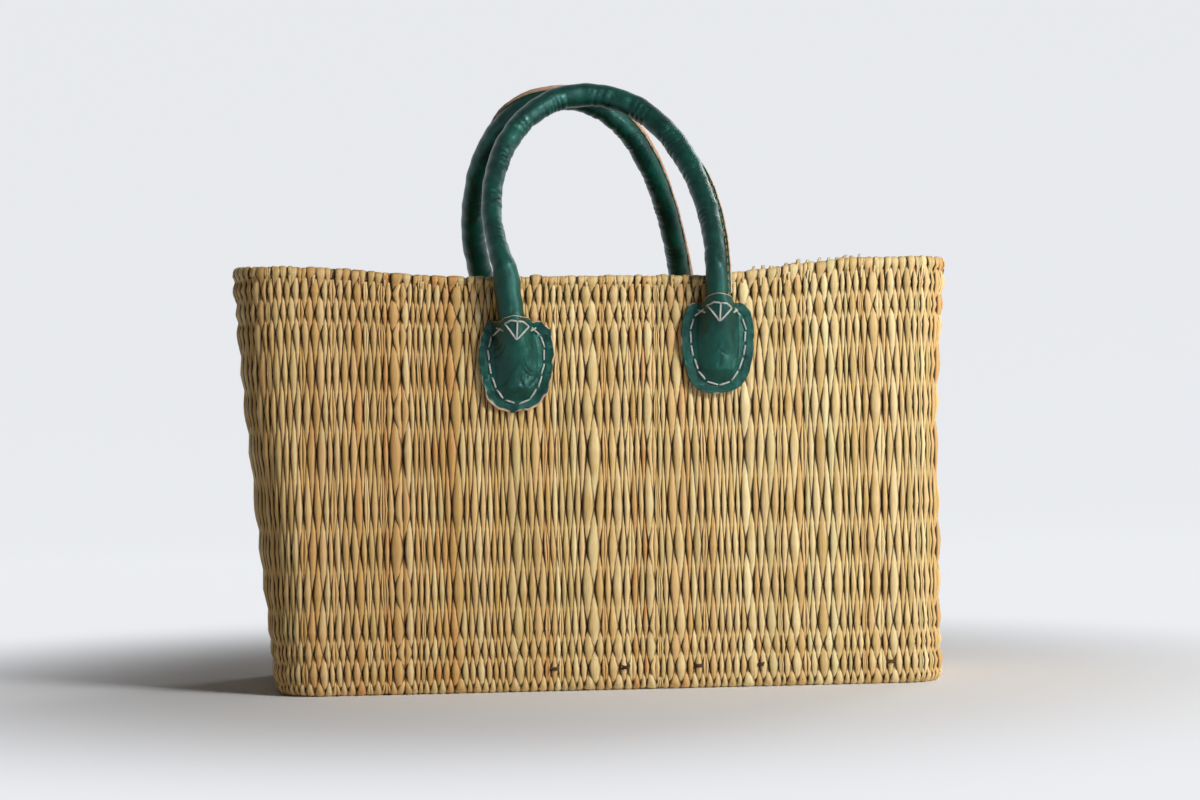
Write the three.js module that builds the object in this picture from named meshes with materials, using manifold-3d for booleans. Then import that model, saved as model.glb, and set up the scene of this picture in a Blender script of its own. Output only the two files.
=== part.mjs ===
import * as THREE from "three";
import { mergeVertices } from "three/addons/utils/BufferGeometryUtils.js";
import Module from "manifold-3d";

const wasm = await Module();
wasm.setup();

// A shopping basket woven from rushes, with two rope-cored leather handles.
// Lengths are millimetres: +X to the right, the front towards -Y, +Z up, the origin under the basket's middle.

// Basket
const basketDepth = 178;
const rimHalfWidth = 230;
const middleLeftReach = 219;
const middleRightReach = 224;
const footLeftReach = 206;
const footRightReach = 225;
const cornerRadius = 30;
const wallThickness = 6.5;
const baseThickness = 6;
const footRounding = 4;

// Cords that the rushes cross, from the table up, and the border over the last of them
const cordSpacings = [14.5, 12, 13.5, 24.5, 26, 25.5, 36.5, 25, 23, 24, 12, 13.5];
const cordRadius = 0.9;
const cordBelowSurface = 0.1;
const borderAboveLastCord = 12;
const borderHeight = 9;
const borderProud = 0.5;
const borderCrest = 2.5;
const rimCordBelowRim = 5.5;
const baseCordCount = 6;
const baseCordSpacing = 24;

// The rim dips between the handles and rises to both ends
const dipLeftEnd = -80;
const dipRightEnd = 60;
const riseLeft = 7.5;
const riseRight = 11;
const riseWidth = 120;
const firstSaggingLevel = 150;
const sagShareOfRise = 0.65;

// Handles: a rope core in a leather tube, seamed along its outside
const tubeRadius = 7.5;
const leatherThickness = 1.4;
const seamHeight = 2.6;
const seamThickness = 2.2;
const tubeToWall = 0.8;
const hingeAboveRim = 4;
const archLength = 148;
const archShoulder = 75;
const archOpening = 2.2;
const handleGap = 0.6;

// Where the handles leave the rim, where they are highest, and how far their sides bow
const frontArch = {
  left: -60.7,
  right: 75,
  crown: 2,
  bowLeft: 18,
  bowRight: 3.5,
  flatLeft: 47,
  flatRight: 52,
};
const backArch = {
  left: -61.5,
  right: 78.5,
  crown: -12,
  bowLeft: 18.5,
  bowRight: -14.5,
  flatLeft: 50,
  flatRight: 50,
};

// Egg-shaped leather patches sewn over the flattened tube ends
const patchWidth = 46;
const patchHeight = 58.5;
const patchWidestAt = 34;
const patchThickness = 2;
const collarRise = 3;
const shoulderAngle = (65 * Math.PI) / 180;
const tipAbovePatchFoot = 16;
const tipHalfWidth = 8;
const tipHalfThickness = 2.6;
const tubeSpread = 1.5;
const hoodGap = 0.9;
const hoodSide = 3;
const hoodFullness = 2.5;
const hoodHem = 1;
const legSettlesAbovePatchFoot = 35;
const frontPatches = { left: { x: -52.7, foot: 176.5 }, right: { x: 75.3, foot: 186.8 } };
const backPatches = { left: { x: -58, foot: 180 }, right: { x: 77, foot: 184 } };

// Waxed cotton thread in a running stitch round each patch
const threadRadius = 0.55;
const stitchInset = 5;
const stitchLength = 6.5;
const stitchSpace = 3.8;
const stitchStartAngle = (28 * Math.PI) / 180;

// Clearance between pieces that touch on the real basket
const gap = 0.3;

// How far a cutting shape reaches past what it cuts, and how near two points are one
const cutPast = 1;
const weldDistance = 1e-4;

// How finely the rounds are divided
const cornerSteps = 4;
const wallSteps = 8;
const tubeSides = 11;
const ropeSides = 8;
const cordSides = 6;
const archSteps = 22;
const ballAngles = [0.45, 0.9];
const legShares = [0.12, 0.3, 0.5, 0.7, 0.88, 1];
const domeShares = [-1, -0.8, -0.45, 0, 0.45, 0.8, 1];
const patchRowShares = [0.4, 0.54, 0.68, 0.82, 0.93, 1];
const patchFirstRow = 0.7;
const leastRowSpacing = 1;
const wallRowShares = [0.25, 0.5, 0.75, 0.88];
const stitchLineSteps = 160;
const grooveSteps = 26;
const mitreLimit = 2;

const cordLevels = cordSpacings.map((_, i) => cordSpacings.slice(0, i + 1).reduce((a, b) => a + b, 0));
const rimHeight = cordLevels[cordLevels.length - 1] + borderAboveLastCord;
const hingeHeight = rimHeight + hingeAboveRim;
const tubeOffset = tubeRadius + tubeToWall;
const hingeOffset = basketDepth / 2 + tubeOffset;
const lean = Math.asin((hingeOffset - tubeRadius - handleGap / 2) / archLength);
const cordInset = wallThickness / 2;
const cordClearance = cordRadius + gap;
const stitchGrooveDepth = 2 * (threadRadius + gap);
const marginWidth = stitchInset + 2 * (threadRadius + gap);
const legTop = hingeHeight - tubeRadius - gap;
const boreRadius = tubeRadius - leatherThickness;
const ropeRadius = boreRadius * Math.cos(Math.PI / (tubeSides - 1)) - gap;

const rush = { color: 0xc8a569, roughness: 0.75, metalness: 0 };
const cordBrown = { color: 0x8a6a3c, roughness: 0.9, metalness: 0 };
const greenLeather = { color: 0x12493f, roughness: 0.45, metalness: 0 };
const rope = { color: 0xb9a27c, roughness: 0.9, metalness: 0 };
const cotton = { color: 0xd7d2be, roughness: 0.85, metalness: 0 };

const smooth = (t) => {
  const c = Math.min(1, Math.max(0, t));
  return c * c * (3 - 2 * c);
};
const mix = (a, b, t) => a + (b - a) * t;

// Height that the rim gains at x over its lowest stretch.
function rimRise(x) {
  const left = riseLeft * smooth((dipLeftEnd - x) / riseWidth);
  const right = riseRight * smooth((x - dipRightEnd) / riseWidth);
  return left + right;
}

// A level of the weave at x: the courses near the rim follow its dip in part, and the border takes up the rest.
function levelAt(level, x) {
  const inCourses = Math.max(0, (level - firstSaggingLevel) / (rimHeight - firstSaggingLevel));
  const inBorder = Math.max(0, (level - rimHeight + borderHeight) / borderHeight);
  const share = sagShareOfRise * inCourses;
  return level + mix(share, 1, inBorder) * rimRise(x);
}

// How far the wall's outside reaches to one end at a height: a parabola through three reaches.
function reach(atFoot, atMiddle, height) {
  const t = height / rimHeight;
  const bow = atMiddle - (atFoot + rimHalfWidth) / 2;
  return mix(atFoot, rimHalfWidth, t) + bow * 4 * t * (1 - t);
}

// A rounded rectangle at a height, as [x, y] points, drawn in from the wall's outside by inset.
function ring(height, inset, steps = wallSteps) {
  const left = -reach(footLeftReach, middleLeftReach, height) + cornerRadius;
  const right = reach(footRightReach, middleRightReach, height) - cornerRadius;
  const side = basketDepth / 2 - cornerRadius;
  const radius = cornerRadius - inset;
  const points = [];
  const corners = [
    [right, -side, -Math.PI / 2],
    [right, side, 0],
    [left, side, Math.PI / 2],
    [left, -side, Math.PI],
  ];
  corners.forEach(([cx, cy, start], k) => {
    for (let i = 0; i <= cornerSteps; i += 1) {
      const a = start + ((Math.PI / 2) * i) / cornerSteps;
      points.push([cx + radius * Math.cos(a), cy + radius * Math.sin(a)]);
    }
    if (k % 2 === 1) {
      const [from, to] = k === 1 ? [right, left] : [left, right];
      const y = cy + Math.sign(cy) * radius;
      for (let i = 1; i < steps; i += 1) points.push([mix(from, to, i / steps), y]);
    }
  });
  return points;
}

// Turns the faces outwards if they point inwards, by the sign of the volume.
function outward(geometry) {
  const p = geometry.attributes.position;
  const index = geometry.index.array;
  const [a, b, c] = [new THREE.Vector3(), new THREE.Vector3(), new THREE.Vector3()];
  let volume = 0;
  for (let i = 0; i < index.length; i += 3) {
    a.fromBufferAttribute(p, index[i]);
    b.fromBufferAttribute(p, index[i + 1]);
    c.fromBufferAttribute(p, index[i + 2]);
    volume += a.dot(b.cross(c));
  }
  if (volume < 0) {
    for (let i = 0; i < index.length; i += 3) [index[i + 1], index[i + 2]] = [index[i + 2], index[i + 1]];
  }
  return geometry;
}

// A closed solid from rows of points, each row a closed outline. The ends are joined to each other ("join"),
// closed by a fan from their middle ("fan"), or, on an outline that runs out and back, by a strip ("strip").
function rowsSolid(rows, ends) {
  const n = rows[0].length;
  const points = rows.flat();
  const index = [];
  const quad = (a, b, c, d) => index.push(a, b, c, a, c, d);
  const last = ends === "join" ? rows.length : rows.length - 1;
  for (let k = 0; k < last; k += 1) {
    const next = (k + 1) % rows.length;
    for (let j = 0; j < n; j += 1) {
      const wrap = (j + 1) % n;
      quad(k * n + j, k * n + wrap, next * n + wrap, next * n + j);
    }
  }
  if (ends === "fan") {
    [0, rows.length - 1].forEach((k) => {
      const middle = rows[k].reduce((sum, v) => sum.add(v), new THREE.Vector3()).divideScalar(n);
      points.push(middle);
      for (let j = 0; j < n; j += 1) {
        const pair = [k * n + j, k * n + ((j + 1) % n)];
        if (k === 0) pair.reverse();
        index.push(pair[0], pair[1], points.length - 1);
      }
    });
  }
  if (ends === "strip") {
    [0, rows.length - 1].forEach((k) => {
      for (let j = 0; j < n / 2 - 1; j += 1) {
        const corner = [j, j + 1, n - 2 - j, n - 1 - j].map((m) => k * n + m);
        if (k === 0) corner.reverse();
        quad(...corner);
      }
    });
  }
  const geometry = new THREE.BufferGeometry().setFromPoints(points);
  geometry.setIndex(index);
  return outward(geometry);
}

// A ring round the basket whose section is a closed list of [inset, level].
function ringSolid(section, steps = wallSteps) {
  const rows = section.map(([inset, level]) =>
    ring(level, inset, steps).map(([x, y]) => new THREE.Vector3(x, y, levelAt(level, x))),
  );
  return rowsSolid(rows, "join");
}

function mesh(name, geometry, finish) {
  const made = new THREE.Mesh(geometry, new THREE.MeshStandardMaterial(finish));
  made.name = name;
  return made;
}

function toManifold(geometry) {
  const bare = geometry.clone();
  bare.deleteAttribute("normal");
  bare.deleteAttribute("uv");
  const merged = mergeVertices(bare, weldDistance);
  return new wasm.Manifold(
    new wasm.Mesh({
      numProp: 3,
      vertProperties: merged.attributes.position.array,
      triVerts: new Uint32Array(merged.index.array),
    }),
  );
}

function toGeometry(solid) {
  const result = solid.getMesh();
  const geometry = new THREE.BufferGeometry();
  geometry.setAttribute("position", new THREE.BufferAttribute(new Float32Array(result.vertProperties), 3));
  geometry.setIndex(new THREE.BufferAttribute(new Uint32Array(result.triVerts), 1));
  return geometry;
}

function cut(geometry, cutters) {
  let solid = toManifold(geometry);
  cutters.forEach((cutter) => {
    solid = solid.subtract(toManifold(cutter));
  });
  return toGeometry(solid);
}

// Half the patch's width at v above its foot: two half ellipses that meet at its widest line. With an inset,
// the same line drawn in from the patch's edge.
const patchUpperAxis = (patchHeight - patchWidestAt) / Math.sin(shoulderAngle);
function patchHalfWidth(v, inset = 0) {
  const axis = (v < patchWidestAt ? patchWidestAt : patchUpperAxis) - inset;
  const share = (v - patchWidestAt) / axis;
  return (patchWidth / 2 - inset) * Math.sqrt(Math.max(0, 1 - share * share));
}

// A point of the stitch line, by its angle round the patch's widest line: 0 right, -90 degrees the foot.
function stitchLine(angle) {
  const upright = angle > 0 || angle < -Math.PI ? patchUpperAxis : patchWidestAt;
  const [cos, sin] = [Math.cos(angle), Math.sin(angle)];
  const point = new THREE.Vector2((patchWidth / 2) * cos, upright * sin);
  const inwards = new THREE.Vector2(upright * cos, (patchWidth / 2) * sin).normalize();
  return point.addScaledVector(inwards, -stitchInset).add(new THREE.Vector2(0, patchWidestAt));
}

// The stitch line as points at even steps of length, and a function that gives its point at a length.
function stitchPath() {
  const line = [];
  for (let i = 0; i <= stitchLineSteps; i += 1) {
    line.push(stitchLine(mix(stitchStartAngle, -Math.PI - stitchStartAngle, i / stitchLineSteps)));
  }
  const lengths = [0];
  for (let i = 1; i < line.length; i += 1) lengths.push(lengths[i - 1] + line[i].distanceTo(line[i - 1]));
  const total = lengths[lengths.length - 1];
  const at = (length) => {
    const wanted = Math.min(Math.max(length, 0), total);
    const k = Math.max(1, lengths.findIndex((sum) => sum >= wanted));
    const share = (wanted - lengths[k - 1]) / (lengths[k] - lengths[k - 1]);
    return line[k - 1].clone().lerp(line[k], share);
  };
  return { total, at };
}

// The stitches of one patch, clear of its dome: the lengths along the stitch line at which the thread comes out
// and goes back in.
function stitches(path, patch, neckX) {
  const pitch = stitchLength + stitchSpace;
  const count = Math.floor((path.total - stitchSpace) / pitch);
  const margin = (path.total - count * pitch + stitchSpace) / 2;
  const all = Array.from({ length: count }, (_, i) => [margin + i * pitch, margin + i * pitch + stitchLength]);
  const clear = (length) => {
    const point = path.at(length);
    const v = patch.foot + point.y;
    const fromLeg = Math.abs(patch.x + point.x - legX(patch, neckX, v));
    return point.y < patchWidestAt || fromLeg > hood(patch, v).halfWidth + threadRadius + gap;
  };
  return all.filter((stitch) => stitch.every(clear));
}

// Everything on the front is laid out in the front's own frame: x along the wall, v up, h out from it.
const onFront = (x, h, v) => new THREE.Vector3(x, -basketDepth / 2 - h, v);

// The leg's middle line: it leaves the hinge at neckX and settles over the patch's middle.
function legX(patch, neckX, v) {
  const from = patch.foot + legSettlesAbovePatchFoot;
  return mix(patch.x, neckX, Math.max(0, (v - from) / (hingeHeight - from)));
}

// The leg's oval at a height: half width, half thickness and the height of its middle over the wall.
function legOval(patch, v) {
  const tip = patch.foot + tipAbovePatchFoot;
  const collar = patch.foot + patchHeight + collarRise;
  const q = Math.min(1, Math.max(0, (v - tip) / (collar - tip)));
  const halfWidth = mix(tipHalfWidth, tubeRadius, q) + tubeSpread * Math.sin(Math.PI * q);
  const halfThickness = mix(tipHalfThickness, tubeRadius, smooth(q));
  return { halfWidth, halfThickness, middle: halfThickness + tubeToWall };
}

function legRow(patch, neckX, v, drawIn, sides) {
  const { halfWidth, halfThickness, middle } = legOval(patch, v);
  const row = [];
  for (let i = 0; i < sides; i += 1) {
    const a = (2 * Math.PI * i) / sides;
    const x = legX(patch, neckX, v) + (halfWidth - drawIn) * Math.cos(a);
    row.push(onFront(x, middle + (halfThickness - drawIn) * Math.sin(a), v));
  }
  return row;
}

function legLevels(patch, bottom, top) {
  const tip = patch.foot + tipAbovePatchFoot;
  const collar = patch.foot + patchHeight + collarRise;
  const between = legShares.map((share) => mix(tip, collar, share));
  const apart = (v) => v > bottom + leastRowSpacing && v < top - leastRowSpacing;
  return [bottom, ...between.filter(apart), top];
}

// The leather tube's fixed end: a sleeve, open at the top for the rope and closed flat at its tip.
function legCover(patch, neckX) {
  const tip = patch.foot + tipAbovePatchFoot;
  const outer = legLevels(patch, tip, legTop).map((v) => legRow(patch, neckX, v, 0, tubeSides));
  const inner = legLevels(patch, tip + leatherThickness, legTop).map((v) =>
    legRow(patch, neckX, v, leatherThickness, tubeSides),
  );
  return rowsSolid([...outer, ...inner.reverse()], "fan");
}

function legCore(patch, neckX) {
  const bottom = patch.foot + tipAbovePatchFoot + leatherThickness + gap;
  const drawIn = leatherThickness + gap;
  const rows = legLevels(patch, bottom, legTop).map((v) => legRow(patch, neckX, v, drawIn, tubeSides));
  return rowsSolid(rows, "fan");
}

// The patch's height over the wall where it domes over the leg, and half the dome's width, at a height.
function hood(patch, v) {
  const tip = patch.foot + tipAbovePatchFoot;
  const { halfWidth, halfThickness, middle } = legOval(patch, Math.max(v, tip));
  const flatFoot = patch.foot + marginWidth;
  const fade = smooth((v - flatFoot) / (tip - flatFoot));
  const top = mix(gap, middle + halfThickness + hoodGap, fade);
  return { top, halfWidth: halfWidth + hoodSide };
}

// A patch: flat against the wall round its margin, domed over the leg, and open at the collar.
function patchSolid(patch, neckX) {
  const collar = patch.foot + patchHeight + collarRise;
  const rowShares = patchRowShares.map((share) => share * patchHeight);
  const fromFoot = [patchFirstRow, marginWidth / 2, marginWidth, tipAbovePatchFoot, ...rowShares];
  const levels = [...fromFoot.map((v) => patch.foot + v), collar];
  const rows = levels.map((v) => {
    const dome = hood(patch, v);
    const width = patchHalfWidth(v - patch.foot);
    const middle = legX(patch, neckX, v);
    const inner = Math.max(hoodHem, patchHalfWidth(v - patch.foot, marginWidth));
    const room = v < patch.foot + patchWidestAt ? inner : Infinity;
    const domeHalf = Math.min(dome.halfWidth, room);
    const edges = [-1, 1].map((side) => {
      const flat = patch.x + side * width;
      const wrapped = middle + side * (domeHalf + hoodHem);
      return side * Math.max(side * flat, side * wrapped);
    });
    const across = [
      [edges[0], gap],
      ...domeShares.map((share) => [
        middle + share * domeHalf,
        gap + (dome.top - gap) * Math.pow(1 - Math.pow(Math.abs(share), hoodFullness), 1 / hoodFullness),
      ]),
      [edges[1], gap],
    ];
    const outside = across.map(([x, h]) => onFront(x, h + patchThickness, v));
    const inside = across.map(([x, h]) => onFront(x, h, v));
    return [...outside, ...inside.reverse()];
  });
  return rowsSolid(rows, "strip");
}

// A short square peg through the leather where the thread passes.
function stitchHole(patch, point) {
  const size = 2 * (threadRadius + gap);
  const box = new THREE.BoxGeometry(size, patchThickness + 2 * cutPast, size);
  const spot = onFront(patch.x + point.x, gap + patchThickness / 2, patch.foot + point.y);
  return box.translate(spot.x, spot.y, spot.z);
}

function stitchHoles(patch, neckX) {
  const path = stitchPath();
  return stitches(path, patch, neckX).flat().map((length) => stitchHole(patch, path.at(length)));
}

// The channel under a patch where the thread runs round the outer rushes.
function stitchGroove(patch) {
  const path = stitchPath();
  const half = threadRadius + 2 * gap;
  const [right, left] = [[], []];
  for (let i = 0; i <= grooveSteps; i += 1) {
    const length = (path.total * i) / grooveSteps;
    const ahead = path.at(length + threadRadius).sub(path.at(length - threadRadius)).normalize();
    const point = path.at(length);
    right.push(new THREE.Vector2(point.x - ahead.y * half, point.y + ahead.x * half));
    left.push(new THREE.Vector2(point.x + ahead.y * half, point.y - ahead.x * half));
  }
  const shape = new THREE.Shape([...right, ...left.reverse()]);
  const band = new THREE.ExtrudeGeometry(shape, { depth: stitchGrooveDepth + cutPast, bevelEnabled: false });
  band.rotateX(Math.PI / 2);
  return band.translate(patch.x, -basketDepth / 2 + stitchGrooveDepth, patch.foot);
}

// The thread: one unbroken square-sectioned strand, out over each stitch and back under the leather.
function patchThread(patch, neckX) {
  const path = stitchPath();
  const over = gap + patchThickness + gap + threadRadius;
  const under = -gap - threadRadius;
  const along = [];
  stitches(path, patch, neckX).forEach(([out, back]) => {
    along.push([out, under], [out, over], [back, over], [back, under]);
  });
  const points = along.map(([length, h]) => {
    const p = path.at(length);
    return onFront(patch.x + p.x, h, patch.foot + p.y);
  });
  const first = path.at(along[0][0] - stitchSpace / 2);
  const last = path.at(along[along.length - 1][0] + stitchSpace / 2);
  points.unshift(onFront(patch.x + first.x, under, patch.foot + first.y));
  points.push(onFront(patch.x + last.x, under, patch.foot + last.y));
  return strand(points, new THREE.Vector3(0, -1, 0));
}

// A square strand along straight runs, mitred at each turn. Its runs lie in planes that hold the out direction.
function strand(points, out) {
  const rows = points.map((point, k) => {
    const before = k > 0 ? point.clone().sub(points[k - 1]).normalize() : null;
    const after = k < points.length - 1 ? points[k + 1].clone().sub(point).normalize() : null;
    const first = before || after;
    const second = after || before;
    const flat = first.clone().add(second).addScaledVector(out, -first.clone().add(second).dot(out));
    const across = flat.cross(out).normalize();
    const sideA = first.clone().cross(across);
    const sideB = second.clone().cross(across);
    const mitre = sideA.add(sideB).normalize();
    mitre.multiplyScalar(threadRadius / Math.max(1 / mitreLimit, mitre.dot(first.clone().cross(across))));
    const wide = across.clone().multiplyScalar(threadRadius);
    return [
      point.clone().add(wide).add(mitre),
      point.clone().sub(wide).add(mitre),
      point.clone().sub(wide).sub(mitre),
      point.clone().add(wide).sub(mitre),
    ];
  });
  return rowsSolid(rows, "fan");
}

// The handle's middle line in its own plane: two curves that meet level at the crown.
function archCurve(arch) {
  const flat = (x, z) => new THREE.Vector3(x, 0, z);
  const left = new THREE.CubicBezierCurve3(
    flat(arch.left, 0),
    flat(arch.left - arch.bowLeft, archShoulder),
    flat(arch.crown - arch.flatLeft, archLength),
    flat(arch.crown, archLength),
  );
  const right = new THREE.CubicBezierCurve3(
    flat(arch.crown, archLength),
    flat(arch.crown + arch.flatRight, archLength),
    flat(arch.right + arch.bowRight, archShoulder),
    flat(arch.right, 0),
  );
  const path = new THREE.CurvePath();
  path.add(left);
  path.add(right);
  return path;
}

// Rings along the handle. Beyond both ends they close down round a ball about the end point.
function archRings(arch, radius, endAngles, section) {
  const path = archCurve(arch);
  const stations = [];
  for (let i = 0; i <= archSteps; i += 1) {
    const t = i / archSteps;
    stations.push({ point: path.getPointAt(t), along: path.getTangentAt(t), scale: 1 });
  }
  const ball = (from, side) =>
    endAngles.map((angle) => ({
      point: from.point.clone().addScaledVector(from.along, side * radius * Math.sin(angle)),
      along: from.along,
      scale: Math.cos(angle),
    }));
  const all = [
    ...ball(stations[0], -1).reverse(),
    ...stations,
    ...ball(stations[stations.length - 1], 1),
  ];
  return all.map(({ point, along, scale }) => {
    const out = new THREE.Vector3(-along.z, 0, along.x);
    const across = new THREE.Vector3(0, 1, 0);
    return section.map(([n, b]) =>
      point.clone().addScaledVector(out, n * scale).addScaledVector(across, b * scale),
    );
  });
}

// The leather tube's section: a round with the two edges of the leather standing up at the seam.
function tubeSection(radius, seam) {
  const start = Math.asin(seamThickness / 2 / radius);
  const points = [[radius + seam, seamThickness / 2]];
  for (let i = 0; i < tubeSides; i += 1) {
    const a = mix(start, 2 * Math.PI - start, i / (tubeSides - 1));
    points.push([radius * Math.cos(a), radius * Math.sin(a)]);
  }
  points.push([radius + seam, -seamThickness / 2]);
  return points;
}

// The bore's section has a point for each point of the outside, and is round under the seam as well.
function boreSection(radius) {
  return tubeSection(tubeRadius, seamHeight).map(([n, b]) => {
    const a = Math.atan2(b, n);
    return [radius * Math.cos(a), radius * Math.sin(a)];
  });
}

function archCover(arch) {
  const closing = Math.acos(archOpening / tubeRadius);
  const closingBore = Math.acos(archOpening / boreRadius);
  const outside = archRings(arch, tubeRadius, [...ballAngles, closing], tubeSection(tubeRadius, seamHeight));
  const inside = archRings(arch, boreRadius, [...ballAngles, closingBore], boreSection(boreRadius));
  return rowsSolid([...outside, ...inside.reverse()], "join");
}

function archCore(arch) {
  const section = [];
  for (let i = 0; i < ropeSides; i += 1) {
    const a = (2 * Math.PI * i) / ropeSides;
    section.push([ropeRadius * Math.cos(a), ropeRadius * Math.sin(a)]);
  }
  return rowsSolid(archRings(arch, ropeRadius, ballAngles, section), "fan");
}

// A slot for a cord, open to the inside, as points of a ring's section from its lower lip to its upper one.
function cordSlot(inner, level) {
  return [
    [inner, level - cordClearance],
    [cordInset - cordClearance, level - cordClearance],
    [cordInset - cordClearance, level + cordClearance],
    [inner, level + cordClearance],
  ];
}

// The rush wall: a tapering shell whose inside holds one slot for each cord.
function wallWeave() {
  const bottom = baseThickness + gap;
  const top = rimHeight - borderHeight - gap;
  const outsideLevels = [bottom, ...wallRowShares.map((share) => share * rimHeight), top];
  const outside = outsideLevels.map((level) => [0, level]);
  const slots = cordLevels.flatMap((level) => cordSlot(wallThickness, level));
  const inside = [[wallThickness, bottom], ...slots, [wallThickness, top]];
  const shell = ringSolid([...outside, ...inside.reverse()]);
  const front = Object.values(frontPatches).map(stitchGroove);
  const back = Object.values(backPatches).map((patch) => {
    const turned = stitchGroove({ x: -patch.x, foot: patch.foot });
    return turned.rotateZ(Math.PI);
  });
  return cut(shell, [...front, ...back]);
}

function cordRing(level) {
  const section = [
    [cordInset - cordRadius, level],
    [cordInset, level + cordRadius],
    [cordInset + cordRadius, level],
    [cordInset, level - cordRadius],
  ];
  const straight = level + cordRadius < firstSaggingLevel;
  return ringSolid(section, straight ? 1 : wallSteps);
}

// The border: the rush ends folded over the last cord and tucked back, a rounded band on the wall.
function rimBorder() {
  const bottom = rimHeight - borderHeight;
  const cordLevel = rimHeight - rimCordBelowRim;
  const inner = wallThickness + borderProud;
  const section = [
    [-borderProud, bottom],
    [-borderProud, rimHeight - borderCrest],
    [borderCrest - borderProud, rimHeight],
    [inner - borderCrest, rimHeight],
    [inner, rimHeight - borderCrest],
    ...cordSlot(inner, cordLevel).reverse(),
    [inner, bottom],
  ];
  return ringSolid(section);
}

// The base: a flat panel with rounded lower edges and slots along it for its cords.
function baseWeave() {
  const halfway = 1 - Math.SQRT1_2;
  const section = [
    [footRounding, 0],
    [footRounding * halfway, footRounding * halfway],
    [0, footRounding],
    [0, baseThickness],
  ];
  const rows = section.map(([inset, level]) => ring(level, inset).map(([x, y]) => new THREE.Vector3(x, y, level)));
  const size = 2 * cordClearance;
  const length = footLeftReach + footRightReach - 2 * wallThickness;
  const middle = (footRightReach - footLeftReach) / 2;
  const slots = baseCordRows().map((y) => {
    const box = new THREE.BoxGeometry(length, size, size);
    return box.translate(middle, y, baseThickness - size / 2 + cordBelowSurface);
  });
  return cut(rowsSolid(rows, "fan"), slots);
}

function baseCordRows() {
  return Array.from({ length: baseCordCount }, (_, i) => (i - (baseCordCount - 1) / 2) * baseCordSpacing);
}

function baseCord(y) {
  const length = footLeftReach + footRightReach - 2 * (wallThickness + gap);
  const middle = (footRightReach - footLeftReach) / 2;
  const cord = new THREE.CylinderGeometry(cordRadius, cordRadius, length, cordSides);
  cord.rotateZ(Math.PI / 2);
  return cord.translate(middle, y, baseThickness - cordRadius - gap + cordBelowSurface);
}

// One handle with its feet, patches and stitching, built as the front one. The back one is turned about Z.
function handleSet(side, arch, patches) {
  const set = new THREE.Group();
  const moving = new THREE.Group();
  moving.position.set(0, -hingeOffset, hingeHeight);
  moving.rotation.x = -lean;
  moving.add(mesh(`${side}_handle_cover`, archCover(arch), greenLeather));
  moving.add(mesh(`${side}_handle_rope`, archCore(arch), rope));
  set.add(moving);
  patches.forEach(({ place, patch, neckX }) => {
    const name = `${side}_${place}`;
    set.add(mesh(`${name}_leg_cover`, legCover(patch, neckX), greenLeather));
    set.add(mesh(`${name}_leg_rope`, legCore(patch, neckX), rope));
    set.add(mesh(`${name}_patch`, cut(patchSolid(patch, neckX), stitchHoles(patch, neckX)), greenLeather));
    set.add(mesh(`${name}_patch_thread`, patchThread(patch, neckX), cotton));
  });
  return set;
}

function frontHandle() {
  return handleSet("front", frontArch, [
    { place: "left", patch: frontPatches.left, neckX: frontArch.left },
    { place: "right", patch: frontPatches.right, neckX: frontArch.right },
  ]);
}

function backHandle() {
  const turned = {
    left: -backArch.right,
    right: -backArch.left,
    crown: -backArch.crown,
    bowLeft: backArch.bowRight,
    bowRight: backArch.bowLeft,
    flatLeft: backArch.flatRight,
    flatRight: backArch.flatLeft,
  };
  const turn = (patch) => ({ x: -patch.x, foot: patch.foot });
  const set = handleSet("back", turned, [
    { place: "left", patch: turn(backPatches.left), neckX: turned.right },
    { place: "right", patch: turn(backPatches.right), neckX: turned.left },
  ]);
  set.rotation.z = Math.PI;
  return set;
}

function basket() {
  const group = new THREE.Group();
  group.add(mesh("wall_weave", wallWeave(), rush));
  group.add(mesh("base_weave", baseWeave(), rush));
  group.add(mesh("rim_border", rimBorder(), rush));
  cordLevels.forEach((level, i) => {
    group.add(mesh(`wall_cord_${i + 1}`, cordRing(level), cordBrown));
  });
  group.add(mesh("rim_cord", cordRing(rimHeight - rimCordBelowRim), cordBrown));
  baseCordRows().forEach((y, i) => {
    group.add(mesh(`base_cord_${i + 1}`, baseCord(y), cordBrown));
  });
  return group;
}

const bag = new THREE.Group();
bag.add(basket());
bag.add(frontHandle());
bag.add(backHandle());

export default bag;
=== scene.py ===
import math

import bpy
import numpy as np
from mathutils import Matrix, Vector


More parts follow.
